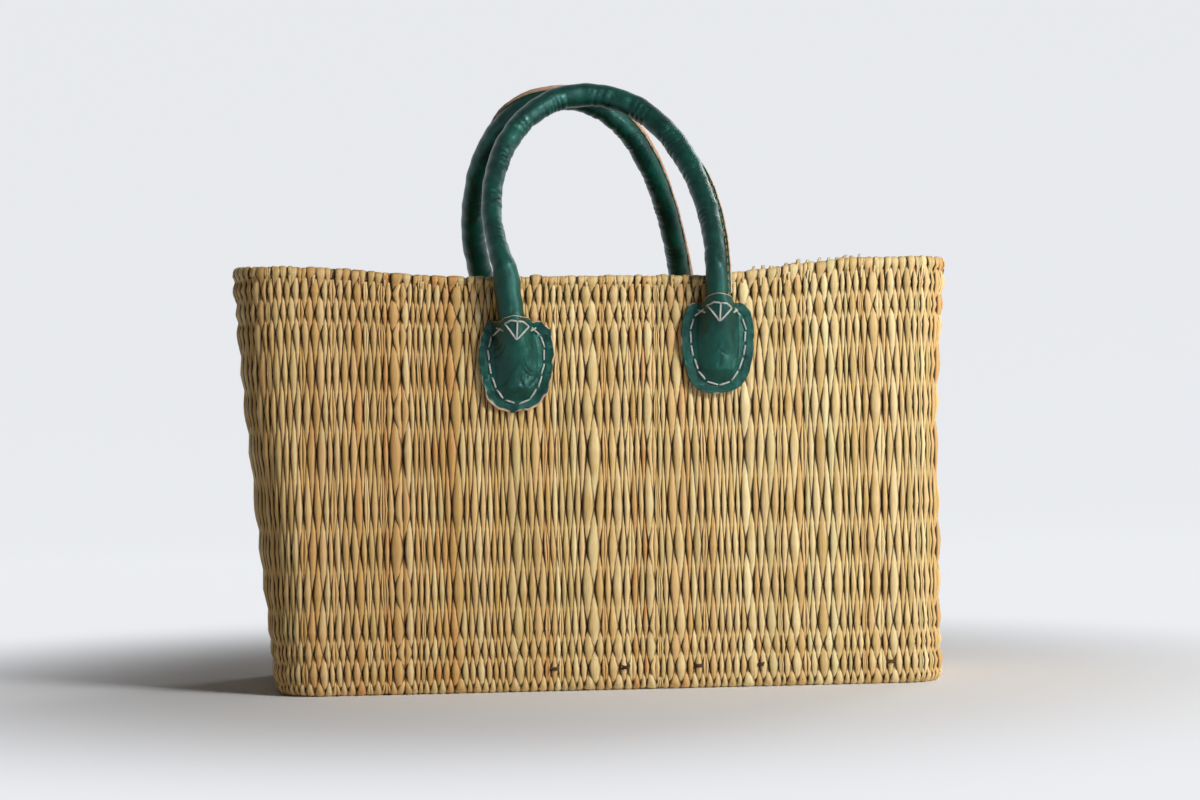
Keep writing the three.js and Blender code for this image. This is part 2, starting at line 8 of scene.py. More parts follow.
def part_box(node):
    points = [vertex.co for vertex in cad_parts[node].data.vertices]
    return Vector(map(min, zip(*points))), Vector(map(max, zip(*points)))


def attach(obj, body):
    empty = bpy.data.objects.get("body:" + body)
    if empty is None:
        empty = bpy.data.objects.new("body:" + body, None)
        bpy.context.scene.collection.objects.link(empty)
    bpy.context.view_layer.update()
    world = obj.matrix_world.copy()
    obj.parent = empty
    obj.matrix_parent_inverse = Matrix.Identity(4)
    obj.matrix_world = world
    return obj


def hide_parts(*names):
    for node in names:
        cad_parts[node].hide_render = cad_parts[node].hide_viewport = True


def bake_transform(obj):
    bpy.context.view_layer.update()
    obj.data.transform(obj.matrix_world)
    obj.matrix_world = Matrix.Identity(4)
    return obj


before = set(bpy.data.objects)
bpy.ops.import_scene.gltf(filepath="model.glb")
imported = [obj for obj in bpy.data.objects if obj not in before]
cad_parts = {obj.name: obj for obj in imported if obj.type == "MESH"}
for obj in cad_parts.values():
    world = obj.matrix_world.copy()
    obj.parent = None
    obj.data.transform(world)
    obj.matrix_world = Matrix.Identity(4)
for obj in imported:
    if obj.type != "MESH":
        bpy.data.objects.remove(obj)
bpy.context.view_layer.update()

bl_info = {
    "name": "Woven Rush Bag",
    "version": (1, 0, 0),
    "blender": (4, 5, 0),
    "location": "View3D > Sidebar > Rush Bag",
    "description": "Weaves a rush shopping bag with stitched leather handles round its frame",
    "category": "Add Mesh",
}

# Lengths in this file are millimetres. A mesh is scaled to metres when it is built, and its UVs are centimetres.
MM = 0.001
CM = 0.1


def box_mm(node):
    """Lowest and highest corner of a frame node, in millimetres."""
    return [np.array(corner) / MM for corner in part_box(node)]


# The basket's outline, as the frame has it. Each end's reach is given at the foot and in the middle of its height.
HALF_DEPTH = box_mm("wall_weave")[1][1]
CORNER_RADIUS = 30.0
RIM_REACH = 230.0
LEFT_REACH = (206.0, 219.0)
RIGHT_REACH = (225.0, 224.0)
WALL_THICKNESS = 6.5
CORD_RADIUS = 0.9
CORD_LEVELS = [box_mm(f"wall_cord_{k}")[0][2] + CORD_RADIUS for k in range(1, 13)]
RIM_LEVEL = CORD_LEVELS[-1] + 12.0
BORDER_HEIGHT = 9.0
BORDER_TOP = RIM_LEVEL - 3.6
DIP_ENDS = (-80.0, 60.0)
RISES = (7.5, 11.0)
RISE_WIDTH = 120.0
FIRST_SAGGING_LEVEL = 150.0
SAG_SHARE = 0.65

# The handles, as the frame has them. A seam's turn and height and the tube's girth are given at shares of its length.
HINGE_OFFSET = 97.3
HINGE_LEVEL = RIM_LEVEL + 4.0
ARCH_LENGTH = 148.0
ARCH_SHOULDER = 75.0
LEAN = math.asin((HINGE_OFFSET - 7.5 - 0.3) / ARCH_LENGTH)
FRONT_ARCH = dict(
    side=-1, left=-60.7, right=75.0, crown=2.0, bow=(18.0, 3.5), flat=(47.0, 52.0),
    pull=(1.0, -1.0), rise=1.2, bare=0.8,
    seam_turn=[(0, -1.6), (0.5, -1.7), (0.6, -1.2), (0.72, -0.1), (1, 0.12)],
    seam_height=[(0, 0), (0.56, 0), (0.66, 0.55), (0.74, 1), (1, 1.2)],
    girth=[
        (0, 1), (0.08, 1.16), (0.13, 1.18), (0.18, 0.96), (0.22, 0.88), (0.3, 0.95), (0.4, 1.04), (0.5, 1.09),
        (0.68, 1.08), (0.76, 1), (0.86, 0.97), (1, 1),
    ],
)
BACK_ARCH = dict(
    side=1, left=-61.5, right=78.5, crown=-12.0, bow=(18.5, -14.5), flat=(50.0, 50.0),
    pull=(1.6, 0.0), rise=0.0, bare=0.45,
    seam_turn=[(0, 1.3), (0.38, 1.3), (0.43, 0.5), (0.47, 0.15), (0.64, 0.05), (0.8, 0.1), (1, -0.25)],
    seam_height=[(0, 0.8), (0.36, 0.5), (0.42, 0.8), (0.62, 0.85), (0.72, 0.5), (0.8, 0.55), (0.9, 1.05), (1, 1.1)],
    girth=[(0, 1.24), (0.15, 1.2), (0.3, 1.06), (1, 1.06)],
)
PATCH_HEIGHT = 58.5
PATCH_THICKNESS = 1.7
PATCH_LIFT = 0.3
TUBE_TO_WALL = 0.8


# Small numpy helpers

def smooth(t):
    """The s-shaped curve 3t^2 - 2t^3 between 0 and 1."""
    t = np.clip(t, 0.0, 1.0)
    return t * t * (3.0 - 2.0 * t)


def mix(a, b, t):
    return a + (b - a) * t


def bell(x, middle, width):
    """The bell curve exp(-u^2), where u is the distance from the middle over the width."""
    return np.exp(-(((x - middle) / width) ** 2))


def waves(seed, terms, *axes):
    """A smooth field between about -1 and 1: a sum of sines. Each term gives one frequency for each axis, and its
    phase comes from the seed."""
    phases = np.random.default_rng(seed).uniform(0, 2 * np.pi, len(terms))
    total = 0.0
    for phase, term in zip(phases, terms):
        total = total + np.sin(sum(f * axis for f, axis in zip(np.atleast_1d(term), axes)) + phase)
    return total / math.sqrt(len(terms))


def unit(vectors):
    return vectors / np.maximum(np.linalg.norm(vectors, axis=-1, keepdims=True), 1e-12)


def together(*parts):
    """Stacks values that broadcast to one shape along a new last axis."""
    return np.stack(np.broadcast_arrays(*parts), axis=-1)


def round_steps(count):
    """Angles at even steps round a circle."""
    return np.linspace(0, 2 * np.pi, count, endpoint=False)


def run_of(points):
    """Length along a line, or along each of many lines, from its start to each of its points."""
    run = np.cumsum(np.linalg.norm(np.diff(points, axis=-2), axis=-1), axis=-1)
    return np.concatenate([np.zeros_like(run[..., :1]), run], axis=-1)


def sampled(at, run, values):
    """The columns of values, which are known at each run, at other lengths."""
    return np.stack([np.interp(at, run, column) for column in values.T], axis=-1)


def even_steps(points, count, closed=False):
    """The same line with its points at even steps of length."""
    p = np.concatenate([points, points[:1]]) if closed else np.asarray(points, float)
    run = run_of(p)
    return sampled(np.linspace(0, run[-1], count, endpoint=not closed), run, p)


# Meshes

def grid_faces(rows, columns, closed_rows=False, closed_columns=True):
    """Quads between neighbouring points of a grid, as indices into its flattened points."""
    r = np.arange(rows if closed_rows else rows - 1)[:, None]
    c = np.arange(columns if closed_columns else columns - 1)[None, :]
    r2, c2 = (r + 1) % rows, (c + 1) % columns
    return together(r * columns + c, r * columns + c2, r2 * columns + c2, r2 * columns + c).reshape(-1, 4)


def many_tubes(points, closed=False):
    """Flattens a stack of tubes, whose points have the shape (tubes, rings, section, 3), and gives their quads and a
    cap for each end. The last ring of a closed tube meets its first, and it has no caps."""
    tubes, rings, section = points.shape[:3]
    start = (np.arange(tubes) * rings * section)[:, None, None]
    quads = (grid_faces(rings, section, closed)[None] + start).reshape(-1, 4)
    first = np.arange(section)
    caps = (np.stack([first[::-1], first + (rings - 1) * section])[None] + start).reshape(-1, section)
    return points.reshape(-1, 3), quads, caps[:0] if closed else caps


def make_mesh(name, points, quads, caps=(), flip=False, attributes=None, uv=None):
    """A mesh object at the origin from points in millimetres, quads and caps, with point attributes and a UV map."""
    faces = [f[:, ::-1] if flip else f for f in (quads, caps) if len(f)]
    loops = np.concatenate([f.ravel() for f in faces]).astype(np.int32)
    sizes = np.concatenate([np.full(len(f), f.shape[1]) for f in faces])
    starts = np.concatenate([[0], np.cumsum(sizes)[:-1]]).astype(np.int32)
    mesh = bpy.data.meshes.new(name)
    mesh.vertices.add(len(points))
    mesh.vertices.foreach_set("co", (points * MM).astype(np.float32).ravel())
    mesh.loops.add(len(loops))
    mesh.loops.foreach_set("vertex_index", loops)
    mesh.polygons.add(len(starts))
    mesh.polygons.foreach_set("loop_start", starts)
    mesh.update(calc_edges=True)
    for key, values in (attributes or {}).items():
        flat = values.ndim == 1
        layer = mesh.attributes.new(key, "FLOAT" if flat else "FLOAT_COLOR", "POINT")
        layer.data.foreach_set("value" if flat else "color", values.astype(np.float32).ravel())
    if uv is not None:
        layer = mesh.uv_layers.new(name="UVMap")
        layer.data.foreach_set("uv", uv.astype(np.float32)[loops].ravel())
    mesh.shade_smooth()
    made = bpy.data.objects.new(name, mesh)
    bpy.context.scene.collection.objects.link(made)
    return made


def add_piece(name, mesh, material, slot, replaced, handle=None, **layers):
    """Makes a piece of the bag from its points and faces, gives it its material and hides the frame parts it replaces.
    A piece of the basket rides on the basket; one of a handle is left where it was built."""
    made = make_mesh(name, *mesh, **layers)
    made.data.materials.append(material)
    if handle is None:
        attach(made, "basket")
    else:
        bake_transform(made)
    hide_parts(*replaced)


# The basket's surface

CORNER_LENGTH = CORNER_RADIUS * math.pi / 2
LONG_SIDE = LEFT_REACH[1] + RIGHT_REACH[1] - 2 * CORNER_RADIUS
OUTLINE_LENGTHS = [LONG_SIDE, CORNER_LENGTH, 2 * (HALF_DEPTH - CORNER_RADIUS), CORNER_LENGTH] * 2
OUTLINE_KNOTS = np.concatenate([[0.0], np.cumsum(OUTLINE_LENGTHS)])
OUTLINE_LENGTH = float(OUTLINE_KNOTS[-1])
OUTLINE_ANGLES = np.radians([-90, -90, 0, 0, 90, 90, 180, 180, 270])
OUTLINE_SIDES = [-1, -1, -1, 1, 1, 1, 1, -1, -1]
OUTLINE_LEFTNESS = [1, 0, 0, 0, 0, 1, 1, 1, 1]

# Frequencies of slow fields: whole numbers of waves round the outline, some with a slope up the wall
TURN = 2 * math.pi / OUTLINE_LENGTH
SWELL_TERMS = [(9 * TURN, 0.021), (14 * TURN, -0.034), (23 * TURN, 0.045), (31 * TURN, 0.012)]
WANDER_TERMS = [(7 * TURN, 0.012), (13 * TURN, -0.016), (19 * TURN, 0.02), (31 * TURN, 0.009)]
DRIFT_TERMS = [(11 * TURN, 0.05), (17 * TURN, 0.07), (29 * TURN, -0.06), (43 * TURN, 0.08)]
WAVER_TERMS = [33 * TURN, 57 * TURN]
BREADTH_TERMS = [26 * TURN, 41 * TURN, 67 * TURN, 95 * TURN]
BUNDLE_TERMS = [9 * TURN, 22 * TURN, 39 * TURN]


def reach(foot_and_middle, level):
    """How far the wall reaches to one end at a level: a parabola through its foot, middle and rim."""
    foot, middle = foot_and_middle
    t = np.clip(level / RIM_LEVEL, 0.0, 1.0)
    return mix(foot, RIM_REACH, t) + (middle - (foot + RIM_REACH) / 2) * 4 * t * (1 - t)


def height_at(level, x):
    """Height of a level of the weave at x. The rim rises by a smooth ramp from its lowest stretch to each end. The
    upper courses follow it in part, the border in full."""
    left = RISES[0] * smooth((DIP_ENDS[0] - x) / RISE_WIDTH)
    right = RISES[1] * smooth((x - DIP_ENDS[1]) / RISE_WIDTH)
    in_courses = np.maximum(0.0, (level - FIRST_SAGGING_LEVEL) / (RIM_LEVEL - FIRST_SAGGING_LEVEL))
    in_border = np.clip((level - RIM_LEVEL + BORDER_HEIGHT) / BORDER_HEIGHT, 0.0, 1.0)
    return level + mix(SAG_SHARE * in_courses, 1.0, in_border) * (left + right)


def middle_height(level):
    """0 at the foot and the rim of the wall and 1 half way up, along a sine."""
    return np.sin(np.pi * np.clip(level / RIM_LEVEL, 0, 1))


def wall_swell(s, level):
    """How far the slack wall stands out of its plane: an even swell of the long sides and a slow waver."""
    s = np.mod(s, OUTLINE_LENGTH)
    on_front, on_back = (np.clip((s - start) / LONG_SIDE, 0, 1) for start in (0, OUTLINE_KNOTS[4]))
    even = np.sin(np.pi * on_front) + np.sin(np.pi * on_back)
    return middle_height(level) * (1.6 * even + 0.8 * waves(5, SWELL_TERMS, s, level))


def wall_point(s, level, out):
    """A point of the wall: s runs round the outline from the front left, level up the weave, and out is how far it
    lies outside the wall's middle surface. The outline is a rounded rectangle whose ends reach further out higher up,
    and the long sides swell a little and waver, as the slack weave does."""
    s = np.mod(s, OUTLINE_LENGTH)
    angle, side, leftness = (
        np.interp(s, OUTLINE_KNOTS, values) for values in (OUTLINE_ANGLES, OUTLINE_SIDES, OUTLINE_LEFTNESS)
    )
    left = -reach(LEFT_REACH, level) + CORNER_RADIUS
    right = reach(RIGHT_REACH, level) - CORNER_RADIUS
    x = mix(right, left, leftness) + CORNER_RADIUS * np.cos(angle)
    y = side * (HALF_DEPTH - CORNER_RADIUS) + CORNER_RADIUS * np.sin(angle)
    out = out - WALL_THICKNESS / 2 + wall_swell(s, level)
    return together(x + out * np.cos(angle), y + out * np.sin(angle), height_at(level, x))


def upright(s, level):
    """Where on the outline a stem that stands at s in the middle of the wall is at another level. The stems of the
    long sides stand upright, so where the bag narrows they pass on round its corners, and those of its ends close
    up: each stretch of the outline shifts by a straight ramp between the shifts of its two ends."""
    left = LEFT_REACH[1] - reach(LEFT_REACH, level)
    right = RIGHT_REACH[1] - reach(RIGHT_REACH, level)
    spans = ((0, 1, -left, right), (1, 4, right, -right), (4, 5, -right, left), (5, 8, left, -left))
    shift = 0.0
    for start, end, from_shift, to_shift in spans:
        share = (np.mod(s, OUTLINE_LENGTH) - OUTLINE_KNOTS[start]) / (OUTLINE_KNOTS[end] - OUTLINE_KNOTS[start])
        shift = shift + np.where((share >= 0) & (share < 1), mix(from_shift, to_shift, share), 0.0)
    return s + shift


def front_s(x):
    """Where on the outline the front wall has this x, at mid height."""
    return x + LEFT_REACH[1] - CORNER_RADIUS


# Settings

def colour(*screen):
    """Linear colour from three screen values of 0 to 255."""
    c = np.array(screen) / 255.0
    return tuple(np.where(c <= 0.04045, c / 12.92, ((c + 0.055) / 1.055) ** 2.4)) + (1.0,)


def shaded(linear, share):
    """A colour with a share of its brightness."""
    return tuple(share * c for c in linear[:3]) + (1.0,)


def colour_property(name, description, *screen):
    return bpy.props.FloatVectorProperty(
        name=name, description=description, subtype="COLOR", size=4, min=0.0, max=1.0, default=colour(*screen)
    )


def length_property(name, description, millimetres):
    return bpy.props.FloatProperty(
        name=name, description=description, unit="LENGTH", subtype="DISTANCE", default=millimetres * MM, min=0.0
    )


def power_property(name, description, watts):
    return bpy.props.FloatProperty(name=name, description=description, unit="POWER", default=watts, min=0.0)


class RushSettings(bpy.types.PropertyGroup):
    """Sizes and colours of the woven rushes and their cords."""

    count: bpy.props.IntProperty(
        name="Rushes", description="How many rush stems stand round the bag", default=452, min=40, max=900
    )
    weave_depth: length_property("Weave Depth", "How far a stem passes from the wall's middle at a cord", 1.3)
    stem_thickness: length_property("Stem Thickness", "Thickness of a flattened stem", 2.9)
    seed: bpy.props.IntProperty(name="Seed", description="Picks the mix of broad and thin stems", default=11)
    pale: colour_property("Pale Rush", "Colour of the palest stems", 246, 224, 168)
    straw: colour_property("Straw", "Colour of most stems", 212, 172, 102)
    golden: colour_property("Golden Rush", "Colour of the ripest stems", 206, 134, 62)
    green: colour_property("Green Rush", "Colour of stems cut green", 190, 180, 120)
    # Brown is the colour of real specks and scars, and also of the painted shade at stem edges and between stems
    brown: colour_property("Brown", "Colour of edges, specks and scars", 50, 26, 11)
    cord: colour_property("Cord", "Colour of the twisted cords", 84, 54, 28)


class LeatherSettings(bpy.types.PropertyGroup):
    """Sizes and colours of the leather, its thread and the rope inside it."""

    tube_radius: length_property("Tube Radius", "Radius of the leather tube round its rope", 7.0)
    seam_height: length_property("Seam Height", "How far the sewn edges stand out of the tube", 2.6)
    thickness: length_property("Leather Thickness", "Thickness of the leather", 1.4)
    thread_radius: length_property("Thread Radius", "Radius of the thread of the patches", 0.52)
    # Deep green is the darker end of the leather's random tone, and also the painted shade in the valleys of its
    # creases
    deep: colour_property("Deep Green", "Colour of the leather in its folds", 2, 34, 28)
    green: colour_property("Green", "Colour of most of the leather", 3, 63, 50)
    worn: colour_property("Worn Green", "Colour where the grain is rubbed", 40, 128, 106)
    raw: colour_property("Raw Edge", "Colour of the cut edges", 238, 190, 158)
    thread: colour_property("Thread", "Colour of the waxed thread", 252, 250, 242)
    rope: colour_property("Rope", "Colour of the rope core", 190, 160, 112)


class StageSettings(bpy.types.PropertyGroup):
    """Colours and lights of the stage."""

    floor: colour_property("Floor", "Colour of the floor under the bag", 232, 232, 233)
    backdrop: colour_property("Backdrop", "Colour that the floor passes into behind the bag", 231, 233, 237)
    key: power_property("Key Light", "Power of the light from the right", 24.0)
    fill: power_property("Fill Light", "Power of the low light from the right", 12.0)
    back: power_property("Back Light", "Power of the light from behind", 12.0)
    room: colour_property("Room", "Colour of the surroundings beyond the backdrop", 150, 151, 153)
    world: bpy.props.FloatProperty(name="Surroundings", description="Strength of the light all round", default=0.06)


# Shader node helpers

def wire(tree, target, values):
    """Fills inputs of a node. A value is a socket to link, or a number or colour to set."""
    for key, value in values.items():
        if isinstance(value, bpy.types.NodeSocket):
            tree.links.new(value, target.inputs[key])
        else:
            target.inputs[key].default_value = value


def node(tree, kind, inputs=None, **settings):
    """Adds a shader node, with its settings and its inputs."""
    made = tree.nodes.new("ShaderNode" + kind)
    for key, value in settings.items():
        setattr(made, key, value)
    wire(tree, made, inputs or {})
    return made


def maths(tree, operation, *values, clamp=False):
    return node(tree, "Math", dict(enumerate(values)), operation=operation, use_clamp=clamp).outputs[0]


def times(tree, first, second, plus=None):
    """The product of two values, and a third one added to it if it is given."""
    if plus is None:
        return maths(tree, "MULTIPLY", first, second)
    return maths(tree, "MULTIPLY_ADD", first, second, plus)


def blended(tree, factor, first, second):
    """The second colour over the first by a factor."""
    return node(tree, "Mix", {0: factor, 6: first, 7: second}, data_type="RGBA").outputs[2]


def ranged(tree, value, low, high):
    """A smooth step from 0 at low to 1 at high."""
    inputs = {"Value": value, "From Min": low, "From Max": high}
    return node(tree, "MapRange", inputs, interpolation_type="SMOOTHSTEP").outputs[0]


def noise(tree, vector, scale, detail=2.0, roughness=0.5, distortion=0.0, output="Fac"):
    inputs = {"Vector": vector, "Scale": scale, "Detail": detail, "Roughness": roughness, "Distortion": distortion}
    return node(tree, "TexNoise", inputs).outputs[output]


def vector_maths(tree, operation, *values, output=0):
    return node(tree, "VectorMath", dict(enumerate(values)), operation=operation).outputs[output]


def bump(tree, height, distance, strength=1.0):
    return node(tree, "Bump", {"Height": height, "Distance": distance, "Strength": strength}).outputs[0]


def attribute(tree, name, output="Fac"):
    return node(tree, "Attribute", attribute_name=name).outputs[output]


def object_place(tree):
    return node(tree, "TexCoord").outputs["Object"]


def new_group(name, inputs, outputs):
    """A shader node group with a vector and some numbers put in, given with their defaults, and numbers put out.
    Returns the tree, the sockets of its inputs and its output node."""
    tree = bpy.data.node_groups.new(name, "ShaderNodeTree")
    tree.interface.new_socket("Vector", in_out="INPUT", socket_type="NodeSocketVector")
    for label, default in inputs.items():
        tree.interface.new_socket(label, in_out="INPUT", socket_type="NodeSocketFloat").default_value = default
    for label in outputs:
        tree.interface.new_socket(label, in_out="OUTPUT", socket_type="NodeSocketFloat")
    return tree, tree.nodes.new("NodeGroupInput").outputs, tree.nodes.new("NodeGroupOutput")


def fibre_group():
    """Long fibres: noise that is fine across a stem and slow along it. Gives a streak mask, blotches and a height."""
    if found := bpy.data.node_groups.get("Fibres"):
        return found
    tree, given, end = new_group("Fibres", {"Across": 30.0, "Along": 0.8}, ("Streaks", "Blotches", "Height"))
    scale = node(tree, "CombineXYZ", {0: given["Across"], 1: given["Along"], 2: 1.0}).outputs[0]
    along = vector_maths(tree, "MULTIPLY", given["Vector"], scale)
    fine = noise(tree, along, 1.0, 3.0, 0.6)
    coarse = noise(tree, vector_maths(tree, "MULTIPLY", along, (0.28, 0.7, 1.0)), 1.0)
    blotches = noise(tree, vector_maths(tree, "MULTIPLY", given["Vector"], (1.6, 0.55, 1.0)), 1.0)
    wire(tree, end, {
        "Streaks": ranged(tree, fine, 0.3, 0.7),
        "Blotches": ranged(tree, blotches, 0.3, 0.7),
        "Height": times(tree, fine, 0.5, times(tree, coarse, 0.8)),
    })
    return tree


def speck_group():
    """Small dark specks and scars: the peaks of a cell pattern, thinned out by slow noise."""
    if found := bpy.data.node_groups.get("Specks"):
        return found
    tree, given, end = new_group("Specks", {"Scale": 3.0, "Share": 0.3}, ("Specks",))
    cells = node(tree, "TexVoronoi", {"Vector": given["Vector"], "Scale": given["Scale"]}).outputs["Distance"]
    patches = maths(tree, "ADD", noise(tree, given["Vector"], 0.9, 2.0, 0.6), given["Share"])
    wire(tree, end, {"Specks": times(tree, ranged(tree, cells, 0.16, 0.05), ranged(tree, patches, 0.82, 0.95))})
    return tree


def leather_group():
    """Leather grain: small cells broken by noise, with long creases. Gives a height, a rubbed mask and a tone."""
    if found := bpy.data.node_groups.get("Leather Grain"):
        return found
    tree, given, end = new_group("Leather Grain", {"Grain": 900.0, "Creases": 160.0}, ("Height", "Rubbed", "Tone"))
    at = given["Vector"]
    bent = vector_maths(tree, "MULTIPLY_ADD", at, noise(tree, at, 120.0, output="Color"), (0.004,) * 3)
    cells = {"Vector": bent, "Scale": given["Grain"]}
    grain = node(tree, "TexVoronoi", cells, feature="SMOOTH_F1").outputs["Distance"]
    folds = noise(tree, vector_maths(tree, "ADD", bent, at), given["Creases"], 4.0, 0.62, 0.8)
    crease = ranged(tree, maths(tree, "ABSOLUTE", maths(tree, "SUBTRACT", folds, 0.5)), 0.0, 0.05)
    slow = noise(tree, at, 55.0, 3.0, 0.55)
    height = times(tree, grain, 0.12, times(tree, crease, 0.4, times(tree, folds, 0.9)))
    rubbed = times(tree, ranged(tree, folds, 0.48, 0.72), ranged(tree, slow, 0.4, 0.62))
    wire(tree, end, {"Height": height, "Rubbed": rubbed, "Tone": ranged(tree, slow, 0.3, 0.7)})
    return tree


# Materials

def new_material(name):
    """An empty material with a Principled shader and its output. Returns it, its tree and the shader."""
    material = bpy.data.materials.new(name)
    material.use_nodes = True
    tree = material.node_tree
    tree.nodes.clear()
    shader = node(tree, "BsdfPrincipled")
    node(tree, "OutputMaterial", {0: shader.outputs[0]})
    return material, tree, shader


def rush_material():
    """Dry rush: each stem has its own tone, ripeness and greenness, with fibres along it and brown specks, and painted
    shade in dark brown at its edges and where it passes behind its neighbours.
    """
    if found := bpy.data.materials.get("Rush"):
        return found
    look = bpy.context.scene.rush_settings
    material, tree, shader = new_material("Rush")
    uv = node(tree, "UVMap", uv_map="UVMap").outputs[0]
    tone, ripe, fresh = node(tree, "SeparateColor", {0: attribute(tree, "rush_kind", "Color")}).outputs
    edge, outside, chance = node(tree, "SeparateColor", {0: attribute(tree, "rush_place", "Color")}).outputs
    fibres = node(tree, "Group", {"Vector": uv, "Across": 34.0, "Along": 0.7}, node_tree=fibre_group())
    streaks, blotches, height = fibres.outputs
    specks = node(tree, "Group", {"Vector": uv, "Scale": 5.0, "Share": 0.3}, node_tree=speck_group()).outputs[0]
    patchy = times(tree, maths(tree, "SUBTRACT", blotches, 0.5), 0.45)
    fibrous = times(tree, maths(tree, "SUBTRACT", streaks, 0.5), 0.5, patchy)
    base = blended(tree, maths(tree, "ADD", tone, fibrous, clamp=True), look.straw, look.pale)
    base = blended(tree, times(tree, ripe, times(tree, blotches, 0.7, 0.3)), base, look.golden)
    base = blended(tree, times(tree, fresh, 0.6), base, look.green)
    # Painted shade: each stem's edges get a dark brown outline, and where it passes behind its neighbours out of the
    # wall's face that brown draws in over it
    hidden = maths(tree, "MAXIMUM", maths(tree, "SUBTRACT", 1.0, outside), 0.1)
    shown = maths(tree, "MAXIMUM", maths(tree, "DIVIDE", outside, hidden, clamp=True), 0.08)
    painted_gap_shade = ranged(tree, maths(tree, "DIVIDE", edge, shown), 0.5, 0.96)
    base = blended(tree, times(tree, painted_gap_shade, 0.9), base, look.brown)
    base = blended(tree, times(tree, specks, 0.7), base, look.brown)
    rough = times(tree, streaks, 0.16, times(tree, chance, 0.12, 0.36))
    normal = bump(tree, height, 0.0005, 0.6)
    wire(tree, shader, {"Base Color": base, "Roughness": rough, "Specular IOR Level": 0.3, "Normal": normal})
    return material


def cord_material():
    """Brown twisted cord with short loose fibres."""
    if found := bpy.data.materials.get("Cord"):
        return found
    look = bpy.context.scene.rush_settings
    material, tree, shader = new_material("Cord")
    at = object_place(tree)
    grain = noise(tree, at, 1500.0, 3.0, 0.6)
    base = blended(tree, ranged(tree, grain, 0.3, 0.7), shaded(look.cord, 0.55), look.cord)
    base = blended(tree, times(tree, ranged(tree, noise(tree, at, 130.0), 0.5, 0.8), 0.25), base, look.straw)
    wire(tree, shader, {"Base Color": base, "Roughness": 0.85, "Normal": bump(tree, grain, 0.0004)})
    return material


def leather_material():
    """Green dyed leather: darker in the valleys of its folds as painted shade, rubbed on its grain, glossy, and raw
    where it was cut.
    """
    if found := bpy.data.materials.get("Green Leather"):
        return found
    look = bpy.context.scene.leather_settings
    material, tree, shader = new_material("Green Leather")
    at = object_place(tree)
    grain = node(tree, "Group", {"Vector": at, "Grain": 1150.0, "Creases": 150.0}, node_tree=leather_group())
    height, rubbed, tone = grain.outputs
    raw = attribute(tree, "raw")
    base = blended(tree, tone, look.deep, look.green)
    base = blended(tree, times(tree, rubbed, 0.3), base, look.worn)
    # Painted shade: the valleys of the creases are darkened towards the deep green
    base = blended(tree, times(tree, attribute(tree, "crease_shade"), 0.8), base, look.deep)
    raw_grain = ranged(tree, noise(tree, at, 1800.0), 0.3, 0.7)
    raw_tone = blended(tree, raw_grain, look.raw, shaded(look.raw, 0.72))
    wire(tree, shader, {
        "Base Color": blended(tree, ranged(tree, raw, 0.35, 0.65), base, raw_tone),
        "Roughness": times(tree, rubbed, 0.1, times(tree, raw, 0.4, 0.3)),
        "Specular IOR Level": 0.65,
        "Specular Tint": (0.42, 1.0, 0.92, 1.0),
        "Normal": bump(tree, height, 0.00011, 0.7),
    })
    return material


def thread_material(name, plain, twist):
    """Twisted thread or rope: fine slanting ribs over a plain colour."""
    if found := bpy.data.materials.get(name):
        return found
    material, tree, shader = new_material(name)
    ribs = node(
        tree, "TexWave",
        {"Vector": node(tree, "UVMap", uv_map="UVMap").outputs[0], "Scale": twist, "Distortion": 1.5, "Detail": 2.0},
        wave_type="BANDS", bands_direction="DIAGONAL",
    ).outputs["Fac"]
    grime = ranged(tree, noise(tree, object_place(tree), 400.0), 0.5, 0.75)
    dark = shaded(plain, 0.55)
    base = blended(tree, times(tree, ribs, 0.45), plain, dark)
    base = blended(tree, times(tree, grime, 0.4), base, dark)
    wire(tree, shader, {"Base Color": base, "Roughness": 0.7, "Normal": bump(tree, ribs, 0.0002)})
    return material


# Rushes

# How the stems lie: the turn at the foot, the gaps and laps between stems, and their slant and waver
FOOT_TURN = 4.0
FOOT_TOP = 6.6
FLOOR_GAP = 0.15
CROSS_OVERLAP = 1.06
LEAST_OPENING = 0.05
OPENING_RANGE = 0.2
BROAD = 1.3
STRAND_OVERLAP = 0.18
STRAND_BORDER_OVERLAP = 0.15
BORDER_SLANT = 0.9
COURSE_WAVER = 0.4
USUAL_HALF_WIDTH = 2.4

# Where a stem's path has its points between two cords, as shares of the way up
COURSE_SHARES = (0.1, 0.36, 0.64, 0.9)
TALL_COURSE = 16.0
TALL_COURSE_SHARES = (0.06, 0.22, 0.41, 0.59, 0.78, 0.94)

# The wall's six pieces, each a range of the outline's knots
WALL_PIECES = {
    "rushes_front_left": (0.0, 0.5),
    "rushes_front_right": (0.5, 1.0),
    "rushes_right_end": (1.0, 4.0),
    "rushes_back_right": (4.0, 4.5),
    "rushes_back_left": (4.5, 5.0),
    "rushes_left_end": (5.0, 8.0),
}

# A stem's section: how far each point lies across it, and how far up its outer face
ACROSS = np.array([-1.0, -0.82, -0.42, 0.0, 0.42, 0.82, 1.0, 0.5, -0.5])
FACE = np.array([-0.1, 0.5, 0.9, 1.0, 0.9, 0.5, -0.1, -0.62, -0.62])
ON_FACE = np.clip(FACE * 2, 0, 1)


